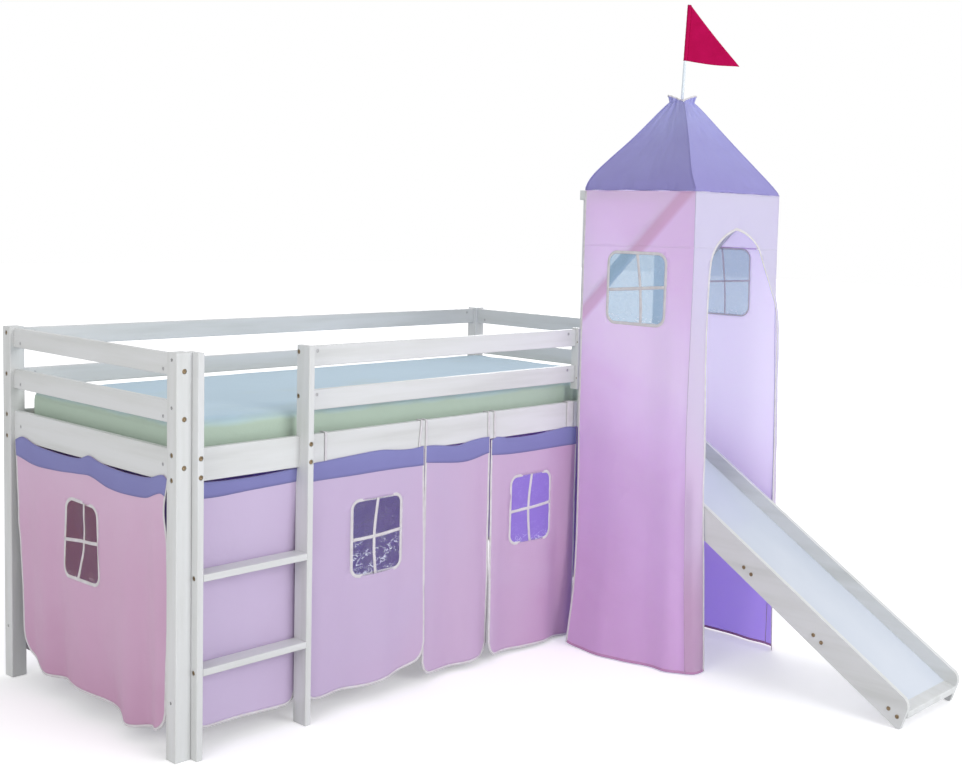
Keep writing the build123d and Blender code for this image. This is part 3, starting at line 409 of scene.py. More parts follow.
pink = cloth_finish("pink_cotton", ((0.59, 0.49, 0.68), (0.555, 0.445, 0.63), (0.57, 0.42, 0.60),
                                    (0.54, 0.33, 0.53)), (-1.05, 0.55), 0.5, axis=(1, 0, -0.25), glow=0.3)
pink_end = cloth_finish("pink_cotton_ends", ((0.56, 0.33, 0.48), (0.62, 0.40, 0.56), (0.66, 0.46, 0.62)),
                        (0.0, 0.8), 0.4, glow=0.3)
lavender = cloth_finish("lavender_lining", ((0.34, 0.24, 0.58), (0.44, 0.33, 0.80), (0.62, 0.48, 0.98)),
                        (-0.6, 0.6), 0.3, axis=(1, 0, 0), glow=0.6)
purple = cloth_finish("purple_cotton", ((0.205, 0.20, 0.44), (0.235, 0.24, 0.50)), (0.66, 0.82), 0.16)
tape_tones = ((0.3, (0.60, 0.57, 0.59)), (0.7, (0.70, 0.68, 0.70)))
tape_white = mottled_finish("white_tape", (0.66, 0.64, 0.66), 0.8, clouds=(40.0, tape_tones),
                            marks=(600.0, 2.0, 0.0003, 0.6))


def film_finish(name, colour, thin, fading):
    """Vinyl film of one tone, with thin pale creases that are painted highlights, more opaque than the rest.
    Patches break them, and they fade to a tenth between two heights."""
    finish, tree, shader = new_finish(name, colour, 0.08, Specular_IOR_Level=0.35)
    place = stretched_place(tree, (1, 1, 1.9))
    creases = noise_value(tree, place, 17.0, 4.0, Distortion=2.6)
    off_line = maths(tree, "ABSOLUTE", maths(tree, "SUBTRACT", creases, 0.5))
    line = ranged(tree, off_line, 0.006, 0.030, 1.0, 0.0)
    broken = ranged(tree, noise_value(tree, place, 26.0, 2.0), 0.43, 0.53)
    where = ranged(tree, height_value(tree), fading[0], fading[1], 1.0, 0.10)
    crease_highlight = maths(tree, "MULTIPLY", maths(tree, "MULTIPLY", line, broken), where)
    # The pale crease lines are painted highlights, mixed into the film's colour and opacity
    tone = add_node(tree, "ShaderNodeMix", {"data_type": "RGBA"},
                    {0: crease_highlight, 6: (*colour, 1), 7: (0.80, 0.85, 0.95, 1)})
    tree.links.new(tone.outputs[2], shader.inputs["Base Color"])
    tree.links.new(ranged(tree, crease_highlight, 0.0, 1.0, thin, 0.85), shader.inputs["Alpha"])
    fine_bump(tree, shader, creases, 0.004, 0.5)
    return finish


film_clear = film_finish("clear_film", (0.44, 0.43, 0.64), 0.09, (0.475, 0.53))
# Two smoother films whose tones are painted: the right window's is the painted light of the lit lining behind
# it, the end window's the painted shade under the bed
film_painted_light = film_finish("violet_film", (0.47, 0.33, 1.0), 0.40, (0.40, 0.42))
film_painted_shade = film_finish("dusk_film", (0.50, 0.22, 0.25), 0.20, (0.40, 0.42))


def smooth_line(places):
    """A smooth height through a few places along the cloth."""
    def height(at):
        if at <= places[0][0]:
            return places[0][1]
        if at >= places[-1][0]:
            return places[-1][1]
        for index in range(len(places) - 1):
            (start, low), (end, high) = places[index], places[index + 1]
            if at <= end:
                share = (at - start) / (end - start)
                before = places[max(index - 1, 0)]
                after = places[min(index + 2, len(places) - 1)]
                rise_in = (high - before[1]) / (end - before[0]) * (end - start)
                rise_out = (after[1] - low) / (after[0] - start) * (end - start)
                square, cube = share * share, share ** 3
                return ((2 * cube - 3 * square + 1) * low + (cube - 2 * square + share) * rise_in
                        + (3 * square - 2 * cube) * high + (cube - square) * rise_out)
    return height


def rounded_hem(hem, span, radius):
    """The hem line, turned up in a quarter round at both corners."""
    def height(at):
        gap = max(min(at - span[0], span[1] - at), 0.0)
        rise = radius - math.sqrt(max(radius ** 2 - (radius - gap) ** 2, 0)) if gap < radius else 0
        return hem(at) + rise
    return height


def off_cloth(place, at, height, lift):
    """A point lifted off the cloth along its normal."""
    small = 0.002
    point = place(at, height)
    along = place(at + small, height) - place(at - small, height)
    up = place(at, height + small) - place(at, height - small)
    return point + along.cross(up).normalized() * lift


def round_window(window, at, height):
    """How far a flat point lies outside a round-cornered window, below zero inside, and the nearest point
    of its edge."""
    middle_at, middle_height, half_width, half_height, radius = window
    x, z = at - middle_at, height - middle_height
    core_x = max(-(half_width - radius), min(half_width - radius, x))
    core_z = max(-(half_height - radius), min(half_height - radius, z))
    reach = math.hypot(x - core_x, z - core_z)
    if reach < 1e-9:
        return -radius, (at, height)
    scale = radius / reach
    edge = (middle_at + core_x + (x - core_x) * scale, middle_height + core_z + (z - core_z) * scale)
    return reach - radius, edge


def flat_grid(name, span, low, high, step):
    """A grid whose points lie on the cut cloth: along it, and from its hem to its top edge."""
    width = span[1] - span[0]
    columns = max(int(width / step), 6)
    tall = max(high(at) - low(at) for at in (span[0] + width * i / 8 for i in range(9)))
    rows = max(int(tall / step), 3)
    bpy.ops.object.select_all(action="DESELECT")
    bpy.ops.mesh.primitive_grid_add(x_subdivisions=columns, y_subdivisions=rows, size=1)
    piece = bpy.context.object
    piece.name = name
    flat = []
    for vertex in piece.data.vertices:
        share = vertex.co.x + 0.5
        share -= math.sin(2 * math.pi * share) / (2 * math.pi) * 0.75
        at = span[0] + width * share
        bottom, top = low(at), high(at)
        flat.append((at, bottom + (top - bottom) * (vertex.co.y + 0.5)))
    return piece, flat


def shape_cloth(piece, flat, place, window=None, inside=False, opening=None):
    """Cut the window or opening out of a flat grid, or keep only what is inside it, then hang it."""
    mesh = bmesh.new()
    mesh.from_mesh(piece.data)
    threads = mesh.loops.layers.uv.new("threads")
    cut = {vertex: flat[vertex.index] for vertex in mesh.verts}
    edge_of = opening or (lambda at, height: round_window(window, at, height))
    if window or opening:
        lost = set()
        for face in mesh.faces:
            at = sum(cut[v][0] for v in face.verts) / len(face.verts)
            height = sum(cut[v][1] for v in face.verts) / len(face.verts)
            if (edge_of(at, height)[0] < 0) != inside:
                lost.add(face)
        on_edge = {v for face in lost for v in face.verts if any(f not in lost for f in v.link_faces)}
        for vertex in on_edge:
            cut[vertex] = edge_of(*cut[vertex])[1]
        bmesh.ops.delete(mesh, geom=list(lost), context="FACES")
    for face in mesh.faces:
        for loop in face.loops:
            loop[threads].uv = cut[loop.vert]
    for vertex in mesh.verts:
        vertex.co = place(*cut[vertex])
    mesh.to_mesh(piece.data)
    mesh.free()


def finish_cloth(piece, finishes, thickness=cloth_thickness, flip=False):
    """Give a hung sheet its thickness, its outer and inner colours and smooth shading."""
    if flip:
        piece.data.flip_normals()
    for old in [layer for layer in piece.data.uv_layers if layer.name != "threads"]:
        piece.data.uv_layers.remove(old)
    piece.data.materials.clear()
    for finish in finishes:
        piece.data.materials.append(finish)
    wall = piece.modifiers.new("thickness", "SOLIDIFY")
    wall.thickness = thickness
    wall.offset = 0
    wall.material_offset = 1 if len(finishes) > 1 else 0
    apply_modifiers(piece)
    bpy.ops.object.shade_smooth()


def piece_from(mesh, name, *finishes):
    """A piece of its own from a bmesh."""
    data = bpy.data.meshes.new(name)
    mesh.to_mesh(data)
    mesh.free()
    piece = bpy.data.objects.new(name, data)
    bpy.context.collection.objects.link(piece)
    for finish in finishes:
        data.materials.append(finish)
    return piece


def neighbours(points, closed):
    """Each point with the one before and the one after it, which at an open end is the point itself."""
    for index, point in enumerate(points):
        before = points[index - 1] if closed or index else point
        after = points[(index + 1) % len(points)] if closed or index < len(points) - 1 else point
        yield before, point, after


def join_rings(mesh, rings, closed=False):
    """Faces between rings of points, and over both ends of an open row."""
    rings = [[mesh.verts.new(point) for point in ring] for ring in rings]
    pairs = list(zip(rings, rings[1:])) + ([(rings[-1], rings[0])] if closed else [])
    for one, other in pairs:
        for i in range(len(one)):
            j = (i + 1) % len(one)
            mesh.faces.new((one[i], one[j], other[j], other[i]))
    if not closed:
        mesh.faces.new(list(reversed(rings[0])))
        mesh.faces.new(rings[-1])


def bead_piece(name, beads, finish, woven=True):
    """Beads of tape as one piece. Each has its rings of points and says if it closes."""
    mesh = bmesh.new()
    threads = mesh.loops.layers.uv.new("threads")
    for rings, closed in beads:
        join_rings(mesh, rings, closed)
    bmesh.ops.recalc_face_normals(mesh, faces=mesh.faces)
    for face in mesh.faces:
        face.smooth = True
        for loop in face.loops:
            if woven:
                loop[threads].uv = (loop.vert.co.x + loop.vert.co.y, loop.vert.co.z)
    return piece_from(mesh, name, finish)


def taped_line(name, place, runs, rims=(), width=tape_width, half=tape_half, finish=tape_white):
    """Folded tape sewn along lines of flat points on the cloth: closed rims and open runs."""
    beads = []
    for points, closed in [(rim, True) for rim in rims] + [(run, False) for run in runs]:
        rings = []
        for before, (at, height), after in neighbours(points, closed):
            run = Vector((after[0] - before[0], after[1] - before[1])).normalized()
            rings.append([off_cloth(place, at - run.y * share * width, height + run.x * share * width,
                                    thick * half) for share, thick in tape_section])
        beads.append((rings, closed))
    return bead_piece(name, beads, finish)


def window_line(window, count=9):
    """Flat points round a window's edge."""
    middle_at, middle_height, half_width, half_height, radius = window
    line = []
    for corner, (x, z) in enumerate(((1, 1), (-1, 1), (-1, -1), (1, -1))):
        for i in range(count):
            angle = math.pi / 2 * (corner + i / (count - 1))
            line.append((middle_at + x * (half_width - radius) + radius * math.cos(angle),
                         middle_height + z * (half_height - radius) + radius * math.sin(angle)))
    return line


def even_line(start, end, count, height=None, bow=0.0):
    """Flat points from one place to another, bowed sideways or following a height."""
    line = []
    for i in range(count + 1):
        share = i / count
        at = start[0] + (end[0] - start[0]) * share
        z = start[1] + (end[1] - start[1]) * share if height is None else height(at)
        line.append((at + bow * math.sin(math.pi * share), z))
    return line


def window_set(name, node, place, window, bows, tape=0.011, pane=film_clear):
    """A film window: its taped edge, two crossed tapes, and the film between them. The bows say how far the
    upright tape bends, how far its foot and its head lie off the middle, and how the level one tilts."""
    middle_at, middle_height, half_width, half_height, _ = window
    bend, foot, head, tilt = bows
    left, right = middle_at - half_width, middle_at + half_width
    low, high = middle_height - half_height, middle_height + half_height
    upright = even_line((middle_at + head, high), (middle_at + foot, low), 16, bow=bend)
    crossing = even_line((left, middle_height - tilt), (right, middle_height + tilt), 14)
    frame_tape = taped_line(name + "_window_tape", place, [upright, crossing], rims=[window_line(window)],
                            width=tape)
    film, flat = flat_grid(name + "_film", (left, right), lambda at: low, lambda at: high, 0.008)

    def crinkled(at, height):
        ripple = noise.noise(Vector((at * 38, height * 30, len(name))))
        return off_cloth(place, at, height, 0.0016 * ripple)

    shape_cloth(film, flat, crinkled, window=window, inside=True)
    finish_cloth(film, [pane], thickness=0.0005)
    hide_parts(node)
    return [frame_tape, film]


def gathered(folds, top, foot, away, seed, wrinkle=0.0022):
    """How far the cloth stands off its rail: broad folds that deepen as they fall, and small wrinkles. A
    fold has its place at the top and at the foot, its width and its depth."""
    def stand(at, height):
        fall = min(max((top - height) / (top - foot), 0.0), 1.0)
        grow = fall ** 0.8
        total = away
        for head_place, foot_place, width, depth in folds:
            centre = head_place + (foot_place - head_place) * fall
            total += depth * grow * math.exp(-((at - centre) / width) ** 2)
        small = noise.noise(Vector((at * 11, height * 5, seed))) + 0.5 * noise.noise(
            Vector((at * 23, height * 19, seed + 7)))
        return total + wrinkle * small * min(fall * 4, 1.0)
    return stand


def curtain(name, node, place, span, top, hem, band, window=None, bows=(0.0, 0.0, 0.0, 0.0), corner=0.035,
            sides=True, flip=False, body="frame", band_node="curtain_bands",
            cotton=pink, pane=film_clear):
    """One curtain with its band, its taped edges and its window. Its top edge, its hem and the lower edge of
    its band are given as the few places that each runs through."""
    top, hem, band = (smooth_line(places) for places in (top, hem, band))
    low = rounded_hem(hem, span, corner)
    piece, flat = flat_grid(name, span, low, top, cloth_step)
    shape_cloth(piece, flat, place, window=window)
    finish_cloth(piece, [cotton, lavender], flip=flip)
    banding, band_flat = flat_grid(name + "_band", span, band, top, cloth_step)
    lift = -cloth_thickness if flip else cloth_thickness
    shape_cloth(banding, band_flat, lambda at, height: off_cloth(place, at, height, lift))
    finish_cloth(banding, [purple], flip=flip)
    left, right = span
    rim = even_line((left, 0), (right, 0), int((right - left) / tape_step) * 2, height=low)
    if sides:
        rim = even_line((left, top(left)), (left, low(left)), 44)[:-1] + rim
        rim += even_line((right, low(right)), (right, top(right)), 44)[1:]
    trims = [banding, taped_line(name + "_tape", place, [rim])]
    if window:
        trims += window_set(name, "curtain_window_films", place, window, bows, pane=pane)
    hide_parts(node)
    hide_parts(band_node)
    for part in [piece, *trims]:
        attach(part, body)
    middle = (left + right) / 2
    round(top(middle) - hem(middle), 3)


rail_line = 0.0137
hang_height = 0.776


def front_place(stand, lean, span):
    """Where cloth along the bed's front hangs: flat places run along the bed from its left posts, and both
    edges lean by a share of the fall."""
    def place(at, height):
        fall = max(0.0, hang_height - height)
        share = (at - span[0]) / (span[1] - span[0])
        shift = fall * (lean[0] * (1 - share) + lean[1] * share)
        return Vector((bed_left + at + shift, bed_front + rail_line - stand(at, height), height))
    return place


middle_span = (0.4375, 0.8955)
middle_stand = gathered(((0.50, 0.47, 0.05, 0.012), (0.60, 0.58, 0.04, -0.010), (0.70, 0.72, 0.07, 0.013),
                         (0.80, 0.80, 0.04, -0.008), (0.87, 0.885, 0.035, 0.014)),
                        hang_height, 0.05, 0.0016, 1.0)
curtain("curtain_middle_cloth", "curtain_front_middle", front_place(middle_stand, (0, 0.012), middle_span),
        middle_span,
        ((0.435, 0.762), (0.455, 0.771), (0.50, 0.774), (0.60, 0.779), (0.72, 0.783), (0.80, 0.775),
         (0.85, 0.773), (0.897, 0.777)),
        ((0.435, 0.065), (0.571, 0.058), (0.684, 0.055), (0.80, 0.066), (0.86, 0.082), (0.9, 0.11)),
        ((0.435, 0.712), (0.464, 0.718), (0.60, 0.717), (0.722, 0.718), (0.9, 0.714)),
        window=(0.709, 0.519, 0.098, 0.118, 0.028), bows=(-0.010, -0.012, 0.0, 0.004))

right_span = (1.205, 1.634)
right_stand = gathered(((1.24, 1.215, 0.03, 0.012), (1.33, 1.30, 0.05, -0.009), (1.42, 1.45, 0.08, 0.012),
                        (1.53, 1.55, 0.04, -0.010), (1.60, 1.60, 0.03, 0.008)),
                       hang_height, 0.02, 0.0016, 2.0)
curtain("curtain_right_cloth", "curtain_front_right", front_place(right_stand, (0.0, 0.0), right_span),
        right_span,
        ((1.20, 0.762), (1.23, 0.771), (1.288, 0.762), (1.414, 0.760), (1.516, 0.767), (1.595, 0.771),
         (1.63, 0.764)),
        ((1.20, 0.030), (1.238, 0.021), (1.34, 0.017), (1.443, 0.015), (1.60, 0.010), (1.63, 0.012)),
        ((1.20, 0.712), (1.30, 0.705), (1.415, 0.704), (1.63, 0.704)),
        window=(1.404, 0.506, 0.098, 0.118, 0.030), bows=(-0.012, -0.004, 0.0, 0.006), pane=film_painted_light)

ladder_span = (0.0705, 0.421)
ladder_fall = smooth_line(((0.04, 0.0385), (0.45, 0.040), (0.60, 0.037), (0.712, 0.030), (0.766, 0.0265)))
ladder_folds = gathered(((0.12, 0.10, 0.04, 0.003), (0.22, 0.20, 0.06, -0.006), (0.33, 0.36, 0.05, 0.003)),
                        0.766, 0.05, 0.0, 3.0, wrinkle=0.0012)


def ladder_place(at, height):
    """Behind the rungs, from the foot of the rail."""
    return Vector((bed_left + at, bed_front + ladder_fall(height) - ladder_folds(at, height), height))


curtain("curtain_ladder_cloth", "curtain_ladder", ladder_place, ladder_span,
        ((0.06, 0.764), (0.16, 0.757), (0.28, 0.756), (0.42, 0.763)),
        ((0.07, 0.075), (0.13, 0.062), (0.25, 0.060), (0.41, 0.056)),
        ((0.06, 0.716), (0.15, 0.713), (0.25, 0.717), (0.42, 0.722)), sides=False)

# End curtains: as wide as the bed, pressed onto hook tape at three places and slack between them. Only
# the left one, at the ladder's end, has a window.
end_span = (0.058, 0.932)
end_stand = gathered(((0.12, 0.09, 0.035, 0.014), (0.20, 0.17, 0.04, -0.016), (0.30, 0.25, 0.05, 0.016),
                      (0.62, 0.36, 0.07, -0.018), (0.47, 0.52, 0.08, 0.012), (0.70, 0.66, 0.05, -0.014),
                      (0.78, 0.76, 0.05, 0.010), (0.88, 0.87, 0.04, -0.010)), hang_height, 0.05, 0.0018, 4.0,
                     wrinkle=0.0030)


def end_place(side, stand):
    """Where cloth on an end hangs: flat places run from the front posts to the back ones. Its front edge
    draws in under the top, the cloth narrows above the window's middle and widens below it, and its back
    edge drifts forward as it falls."""
    line = bed_left + rail_line if side < 0 else bed_right - rail_line
    flare_at, flare_height, flare_reach = 0.53, 0.517, 0.17

    def place(at, height):
        fall = max(0.0, hang_height - height)
        share = (at - end_span[0]) / (end_span[1] - end_span[0])
        slack = 0.021 * math.exp(-((height - 0.685) / 0.075) ** 2) * max(1 - share * 2.5, 0) ** 2
        near = math.exp(-((height - flare_height) / flare_reach) ** 2 - ((at - flare_at) / flare_reach) ** 2)
        pull = near * (flare_height - height) * (1.0 * (at - flare_at) + 0.06)
        return Vector((line + side * stand(at, height),
                       bed_front + at + slack + pull - 0.085 * fall * share ** 3, height))
    return place


end_top = ((0.055, 0.772), (0.083, 0.783), (0.148, 0.766), (0.241, 0.761), (0.36, 0.764), (0.43, 0.772),
           (0.481, 0.781), (0.53, 0.766), (0.645, 0.761), (0.80, 0.768), (0.885, 0.783), (0.935, 0.768))
end_hem = ((0.055, 0.082), (0.126, 0.064), (0.235, 0.043), (0.315, 0.052), (0.433, 0.069), (0.572, 0.073),
           (0.776, 0.068), (0.86, 0.092), (0.94, 0.13))
end_band = ((0.055, 0.725), (0.085, 0.730), (0.16, 0.706), (0.257, 0.700), (0.37, 0.703), (0.47, 0.722),
            (0.55, 0.717), (0.70, 0.706), (0.83, 0.706), (0.935, 0.720))
curtain("curtain_end_left_cloth", "curtain_end_left", end_place(-1, end_stand), end_span, end_top, end_hem,
        end_band, window=(0.530, 0.517, 0.102, 0.118, 0.036), bows=(-0.010, 0.016, -0.020, -0.010),
        corner=0.045, flip=True, cotton=pink_end, pane=film_painted_shade)
far_stand = gathered(((0.15, 0.13, 0.05, 0.010), (0.30, 0.33, 0.06, -0.015), (0.45, 0.42, 0.06, 0.009),
                      (0.60, 0.62, 0.06, -0.016), (0.75, 0.72, 0.05, 0.009), (0.87, 0.88, 0.04, -0.010)),
                     hang_height, 0.05, 0.0018, 5.0)
curtain("curtain_end_right_cloth", "curtain_end_right", end_place(1, far_stand), end_span, end_top, end_hem,
        end_band, corner=0.045, cotton=pink_end)

# Back curtain: one long sheet behind the bed, plain, with a tie every quarter of a metre. Its top edge
# is higher at every second one.
back_span = (0.058, 2.022)
tie_step = 0.248
back_folds = tuple((0.12 + 0.11 * i, 0.12 + 0.11 * i + 0.02 * math.sin(i * 2.3), 0.036,
                    0.009 if i % 2 else -0.014) for i in range(18))
back_stand = gathered(back_folds, hang_height, 0.05, 0.0018, 6.0)


def back_place(at, height):
    """Where the back cloth hangs, its flat places running along the bed from its left posts."""
    return Vector((bed_left + at, bed_back - rail_line + back_stand(at, height), height))


curtain("curtain_back_cloth", "curtain_back", back_place, back_span,
        tuple((0.05 + tie_step * i, 0.781 if i % 2 == 0 else 0.764) for i in range(9)),
        tuple((0.05 + tie_step * i, 0.062 + 0.012 * math.sin(i * 1.7)) for i in range(9)),
        tuple((0.05 + tie_step * i, 0.722 if i % 2 == 0 else 0.708) for i in range(9)),
        flip=True)

# Door flap: the narrow loose curtain between the two front ones, which lifts about its top edge
flap_span = (0.9075, 1.1905)
flap_stand = gathered(((0.95, 0.93, 0.035, 0.006), (1.02, 1.03, 0.05, -0.010), (1.11, 1.10, 0.05, 0.010),
                       (1.165, 1.18, 0.022, -0.012)), hang_height, 0.03, 0.0022, 8.0)
curtain("door_flap_cloth", "door_flap", front_place(flap_stand, (-0.004, 0.018), flap_span), flap_span,
        ((0.905, 0.7755), (0.94, 0.774), (1.047, 0.762), (1.10, 0.771), (1.155, 0.7755), (1.193, 0.7755)),
        ((0.905, 0.040), (0.93, 0.029), (1.069, 0.024), (1.177, 0.030), (1.195, 0.040)),
        ((0.905, 0.722), (0.95, 0.716), (1.05, 0.705), (1.10, 0.706), (1.195, 0.722)),
        corner=0.030, body="door_flap", band_node="door_flap_band")

# Ties: narrow white tapes from the curtains' top edges up over the side rails, and one wide tab at the
# tower. The end curtains have none: they are pressed onto spots of hook tape stuck to the end rails.
tie_width = 0.009
tie_half = 0.0009
tie_tail = 0.055
tie_gap = 0.0022


def over_rail(low, high, side):
    """Where a tape lies on a rail: up its outer face, over its top and down inside. The flat place runs
    along the rail, and the height goes on past the top as the tape turns over it."""
    def place(at, height):
        past = height - high[2] - tie_gap
        thick = high[1] - low[1] + 2 * tie_gap
        outer = (low if side < 0 else high)[1] + side * tie_gap
        if past <= 0:
            return Vector((at, outer, height))
        if past <= thick:
            return Vector((at, outer - side * past, high[2] + tie_gap))
        return Vector((at, outer - side * thick, high[2] + tie_gap - (past - thick)))
    return place


def ties(name, node, side, marks, width=tie_width):
    """All ties of one rail. Each mark gives a place at the rail's top, one at the curtain, and its foot."""
    low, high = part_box(node)
    reach = high[2] + high[1] - low[1] + tie_tail
    runs = []
    for top_at, foot_at, foot in marks:
        points = []
        for i in range(31):
            height = foot + (reach - foot) * i / 30
            share = min(max((high[2] - height) / (high[2] - foot), 0), 1)
            points.append((bed_left + top_at + (foot_at - top_at) * share, height))
        runs.append(points)
    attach(taped_line(name, over_rail(low, high, side), runs, width=width, half=tie_half), "frame")


ties("ties_front", "side_rail_front", -1,
     ((0.507, 0.507, 0.768), (0.888, 0.878, 0.770), (0.907, 0.908, 0.772), (1.188, 1.189, 0.772),
      (1.216, 1.219, 0.762)))
ties("tab_front", "side_rail_front", -1, ((1.600, 1.600, 0.762),), width=0.038)
ties("ties_back", "side_rail_back", 1,
     tuple((0.05 + tie_step * i, 0.052 + tie_step * i, 0.772) for i in range(1, 8)))

# Tower: pink cotton walls hung from the arms, with painted light and shade: lighter above a cross seam,
# darker towards the floor, and a painted shadow of the brace behind them. The cloth is thin enough to light
# the inside, where the lining also glows with painted light. Its narrow hems stop just above the floor.
arm_gap = 0.0014
tower_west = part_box("tower_arm_left")[0][0] - arm_gap
tower_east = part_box("tower_arm_right")[1][0] + arm_gap
tower_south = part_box("tower_arm_left")[0][1] - arm_gap
tower_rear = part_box("tower_wall_left")[1][1]
tower_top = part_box("tower_wall_left")[1][2]
tower_foot = 0.004
seam_height = 1.424
arch_half = 0.157
arch_spring = 1.33
strip = 0.0946
fold_edge = 0.03

# Painted light and shade: the walls are darker towards the floor and lighter towards the top and the front
tower_cotton = cloth_finish("tower_cotton", ((0.64, 0.41, 0.67), (0.72, 0.49, 0.80), (0.80, 0.65, 0.94),
                                             (0.76, 0.57, 0.83)), (0.15, 1.65), 0.4, axis=(0, -0.6, 1),
                            glow=0.9, depth=0.0026)
# Painted shade and light: the front wall is darker towards the floor and lighter towards the top
front_cotton = cloth_finish("tower_front_cotton", ((0.55, 0.365, 0.54), (0.60, 0.47, 0.655),
                                                   (0.59, 0.515, 0.67), (0.57, 0.535, 0.69)),
                            (0.7, 2.0), 0.3, axis=(1, 0, 1), glow=0.7)
# Painted light: the lining glows with a faint lavender emission, and its tone is darker towards the floor, a
# painted shade
tower_lining = cloth_finish("tower_lining", ((0.52, 0.38, 1.0), (0.82, 0.74, 1.0), (0.86, 0.80, 1.0)),
                            (0.2, 1.0), 0.25, glow=1.0, depth=0.0026,
                            Emission_Color=(0.60, 0.55, 1.0, 1), Emission_Strength=0.17)
tower_film = film_finish("tower_film", (0.42, 0.62, 0.82), 0.52, (1.18, 1.20))


def brace_shadow(finish, darkest=0.55, core=0.014, edge=0.030):
    """Darken a cloth along the brace behind it, by a share at its core that fades out at its edge."""
    tree = finish.node_tree
    shader = tree.nodes["Principled BSDF"]
    low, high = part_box("tower_brace_left")
    run = Vector((0, low[1] - high[1], high[2] - low[2])).normalized()
    across = Vector((0, -run.z, run.y))
    middle = Vector((0, (low[1] + high[1]) / 2, (low[2] + high[2]) / 2))
    off_middle = maths(tree, "SUBTRACT", along_value(tree, object_place(tree), across), middle.dot(across))
    shade = ranged(tree, maths(tree, "ABSOLUTE", off_middle), core, edge, darkest, 0.0)
    plain = shader.inputs["Base Color"].links[0].from_socket
    mixed = add_node(tree, "ShaderNodeMix", {"data_type": "RGBA"},
                     {0: shade, 6: plain, 7: (0.60, 0.33, 0.48, 1)})
    tree.links.new(mixed.outputs[2], shader.inputs["Base Color"])


brace_shadow(tower_cotton)


def falling_line(x, y, places):
    """A smooth line down the cloth from a plan point, given from the top as heights and steps in plan."""
    rising = tuple(reversed(places))
    x_line = smooth_line(tuple((z, x + step) for z, step, _ in rising))
    y_line = smooth_line(tuple((z, y + step) for z, _, step in rising))
    return lambda height: Vector((x_line(height), y_line(height), height))


west_corner = falling_line(tower_west, tower_south, (
    (tower_top, 0, 0), (1.33, 0.002, 0), (1.05, -0.002, 0), (0.80, -0.006, -0.002), (0.58, -0.006, -0.007),
    (0.25, -0.018, -0.027), (0.0, -0.032, -0.051)))
west_rear = falling_line(tower_west, tower_rear, (
    (tower_top, 0, 0), (1.33, -0.003, 0), (0.80, -0.008, -0.006), (0.58, -0.014, -0.016),
    (0.25, -0.040, -0.035), (0.0, -0.083, -0.042)))
east_corner = falling_line(tower_east, tower_south, (
    (tower_top, 0, 0), (1.33, 0.002, 0), (1.20, 0.002, -0.004), (0.95, 0.002, -0.014), (0.72, 0.002, -0.021),
    (0.55, -0.002, -0.026), (0.30, -0.024, -0.040), (0.0, -0.060, -0.062)))
east_rear = falling_line(tower_east, tower_rear, (
    (tower_top, 0, 0), (1.33, 0.002, 0), (0.6, 0.002, 0), (0.30, -0.022, -0.002), (0.0, -0.056, -0.004)))
strip_left_end = falling_line(tower_west, tower_south, (
    (tower_top, strip, 0), (1.36, strip, 0), (1.20, strip, 0.003), (1.00, strip + 0.002, 0.002),
    (0.74, strip + 0.006, -0.004), (0.64, 0.058, -0.034), (0.56, 0.0495, -0.043), (0.30, 0.0450, -0.060),
    (0.0, 0.0375, -0.078)))
strip_right_end = falling_line(tower_east, tower_south, (
    (tower_top, -strip, 0), (1.40, -strip, 0), (1.30, -strip * 0.86, -0.028), (1.20, -0.066, -0.052),
    (0.95, -0.067, -0.060), (0.72, -0.068, -0.068), (0.55, -0.070, -0.073), (0.30, -0.084, -0.089),
    (0.0, -0.108, -0.118)))
wall_run = tower_rear - tower_south
front_run = tower_east - tower_west
front_middle = front_run / 2
wall_stand = gathered(((0.06, 0.05, 0.04, 0.005), (0.17, 0.15, 0.05, -0.008), (0.30, 0.33, 0.05, 0.012),
                       (0.41, 0.42, 0.04, -0.009)), 1.30, 0.0, 0.0, 11.0, wrinkle=0.0036)
front_stand = gathered(((0.03, 0.03, 0.02, 0.003), (0.47, 0.47, 0.02, 0.004)), 1.40, 0.0, 0.0, 12.0,
                       wrinkle=0.0022)


def between(start, end, share, stand):
    """A point of the wall between its two edges, standing off along the wall's normal in plan."""
    across = end - start
    normal = Vector((across.y, -across.x, 0)).normalized()
    return start + across * share + normal * stand


def west_place(at, height):
    """The left wall, its flat places running from the rear edge to the front corner."""
    fade = min(at, wall_run - at, fold_edge) / fold_edge
    belly = 0.030 * max(0.0, 1 - height / 0.40) ** 1.6 * math.sin(math.pi * at / wall_run)
    stand = belly - wall_stand(at, height) * fade
    return between(west_rear(height), west_corner(height), at / wall_run, stand)


def east_place(at, height):
    """The right wall, its flat places running from the front corner to the rear edge."""
    fade = min(at, wall_run - at, fold_edge) / fold_edge
    stand = 0.4 * wall_stand(wall_run - at, height) * fade
    return between(east_corner(height), east_rear(height), at / wall_run, stand)


def front_place_on_tower(at, height):
    """The front wall, from its left corner to its right one. Below the arch it is two loose strips."""
    on_left = at < front_middle
    if on_left:
        share = at / strip
        start, end = west_corner(height), strip_left_end(height)
        curl = min(max((0.78 - height) / 0.2, 0.0), 1.0) * 0.014
    else:
        share = (front_run - at) / strip
        start, end = east_corner(height), strip_right_end(height)
        curl = -min(max((1.34 - height) / 0.2, 0.0), 1.0) * 0.010
    bow = curl * math.sin(math.pi * share) if share <= 1 else 0.0
    stand = front_stand(at, height) * min(share * 3, 1.0)
    return between(start, end, share, bow + (stand if on_left else -stand))


# The arch's edge, from its left spring over its point to its right one: shares of its half width and
# heights
arch_shape = ((-1.0, 1.33), (-0.97, 1.376), (-0.84, 1.420), (-0.62, 1.452), (-0.33, 1.476), (-0.02, 1.4905),
              (0.30, 1.482), (0.58, 1.463), (0.83, 1.434), (0.97, 1.395), (1.0, 1.34))
arch_height = smooth_line(tuple((front_middle + x * arch_half, z) for x, z in arch_shape))
left_foot = front_middle - arch_half
right_foot = front_middle + arch_half


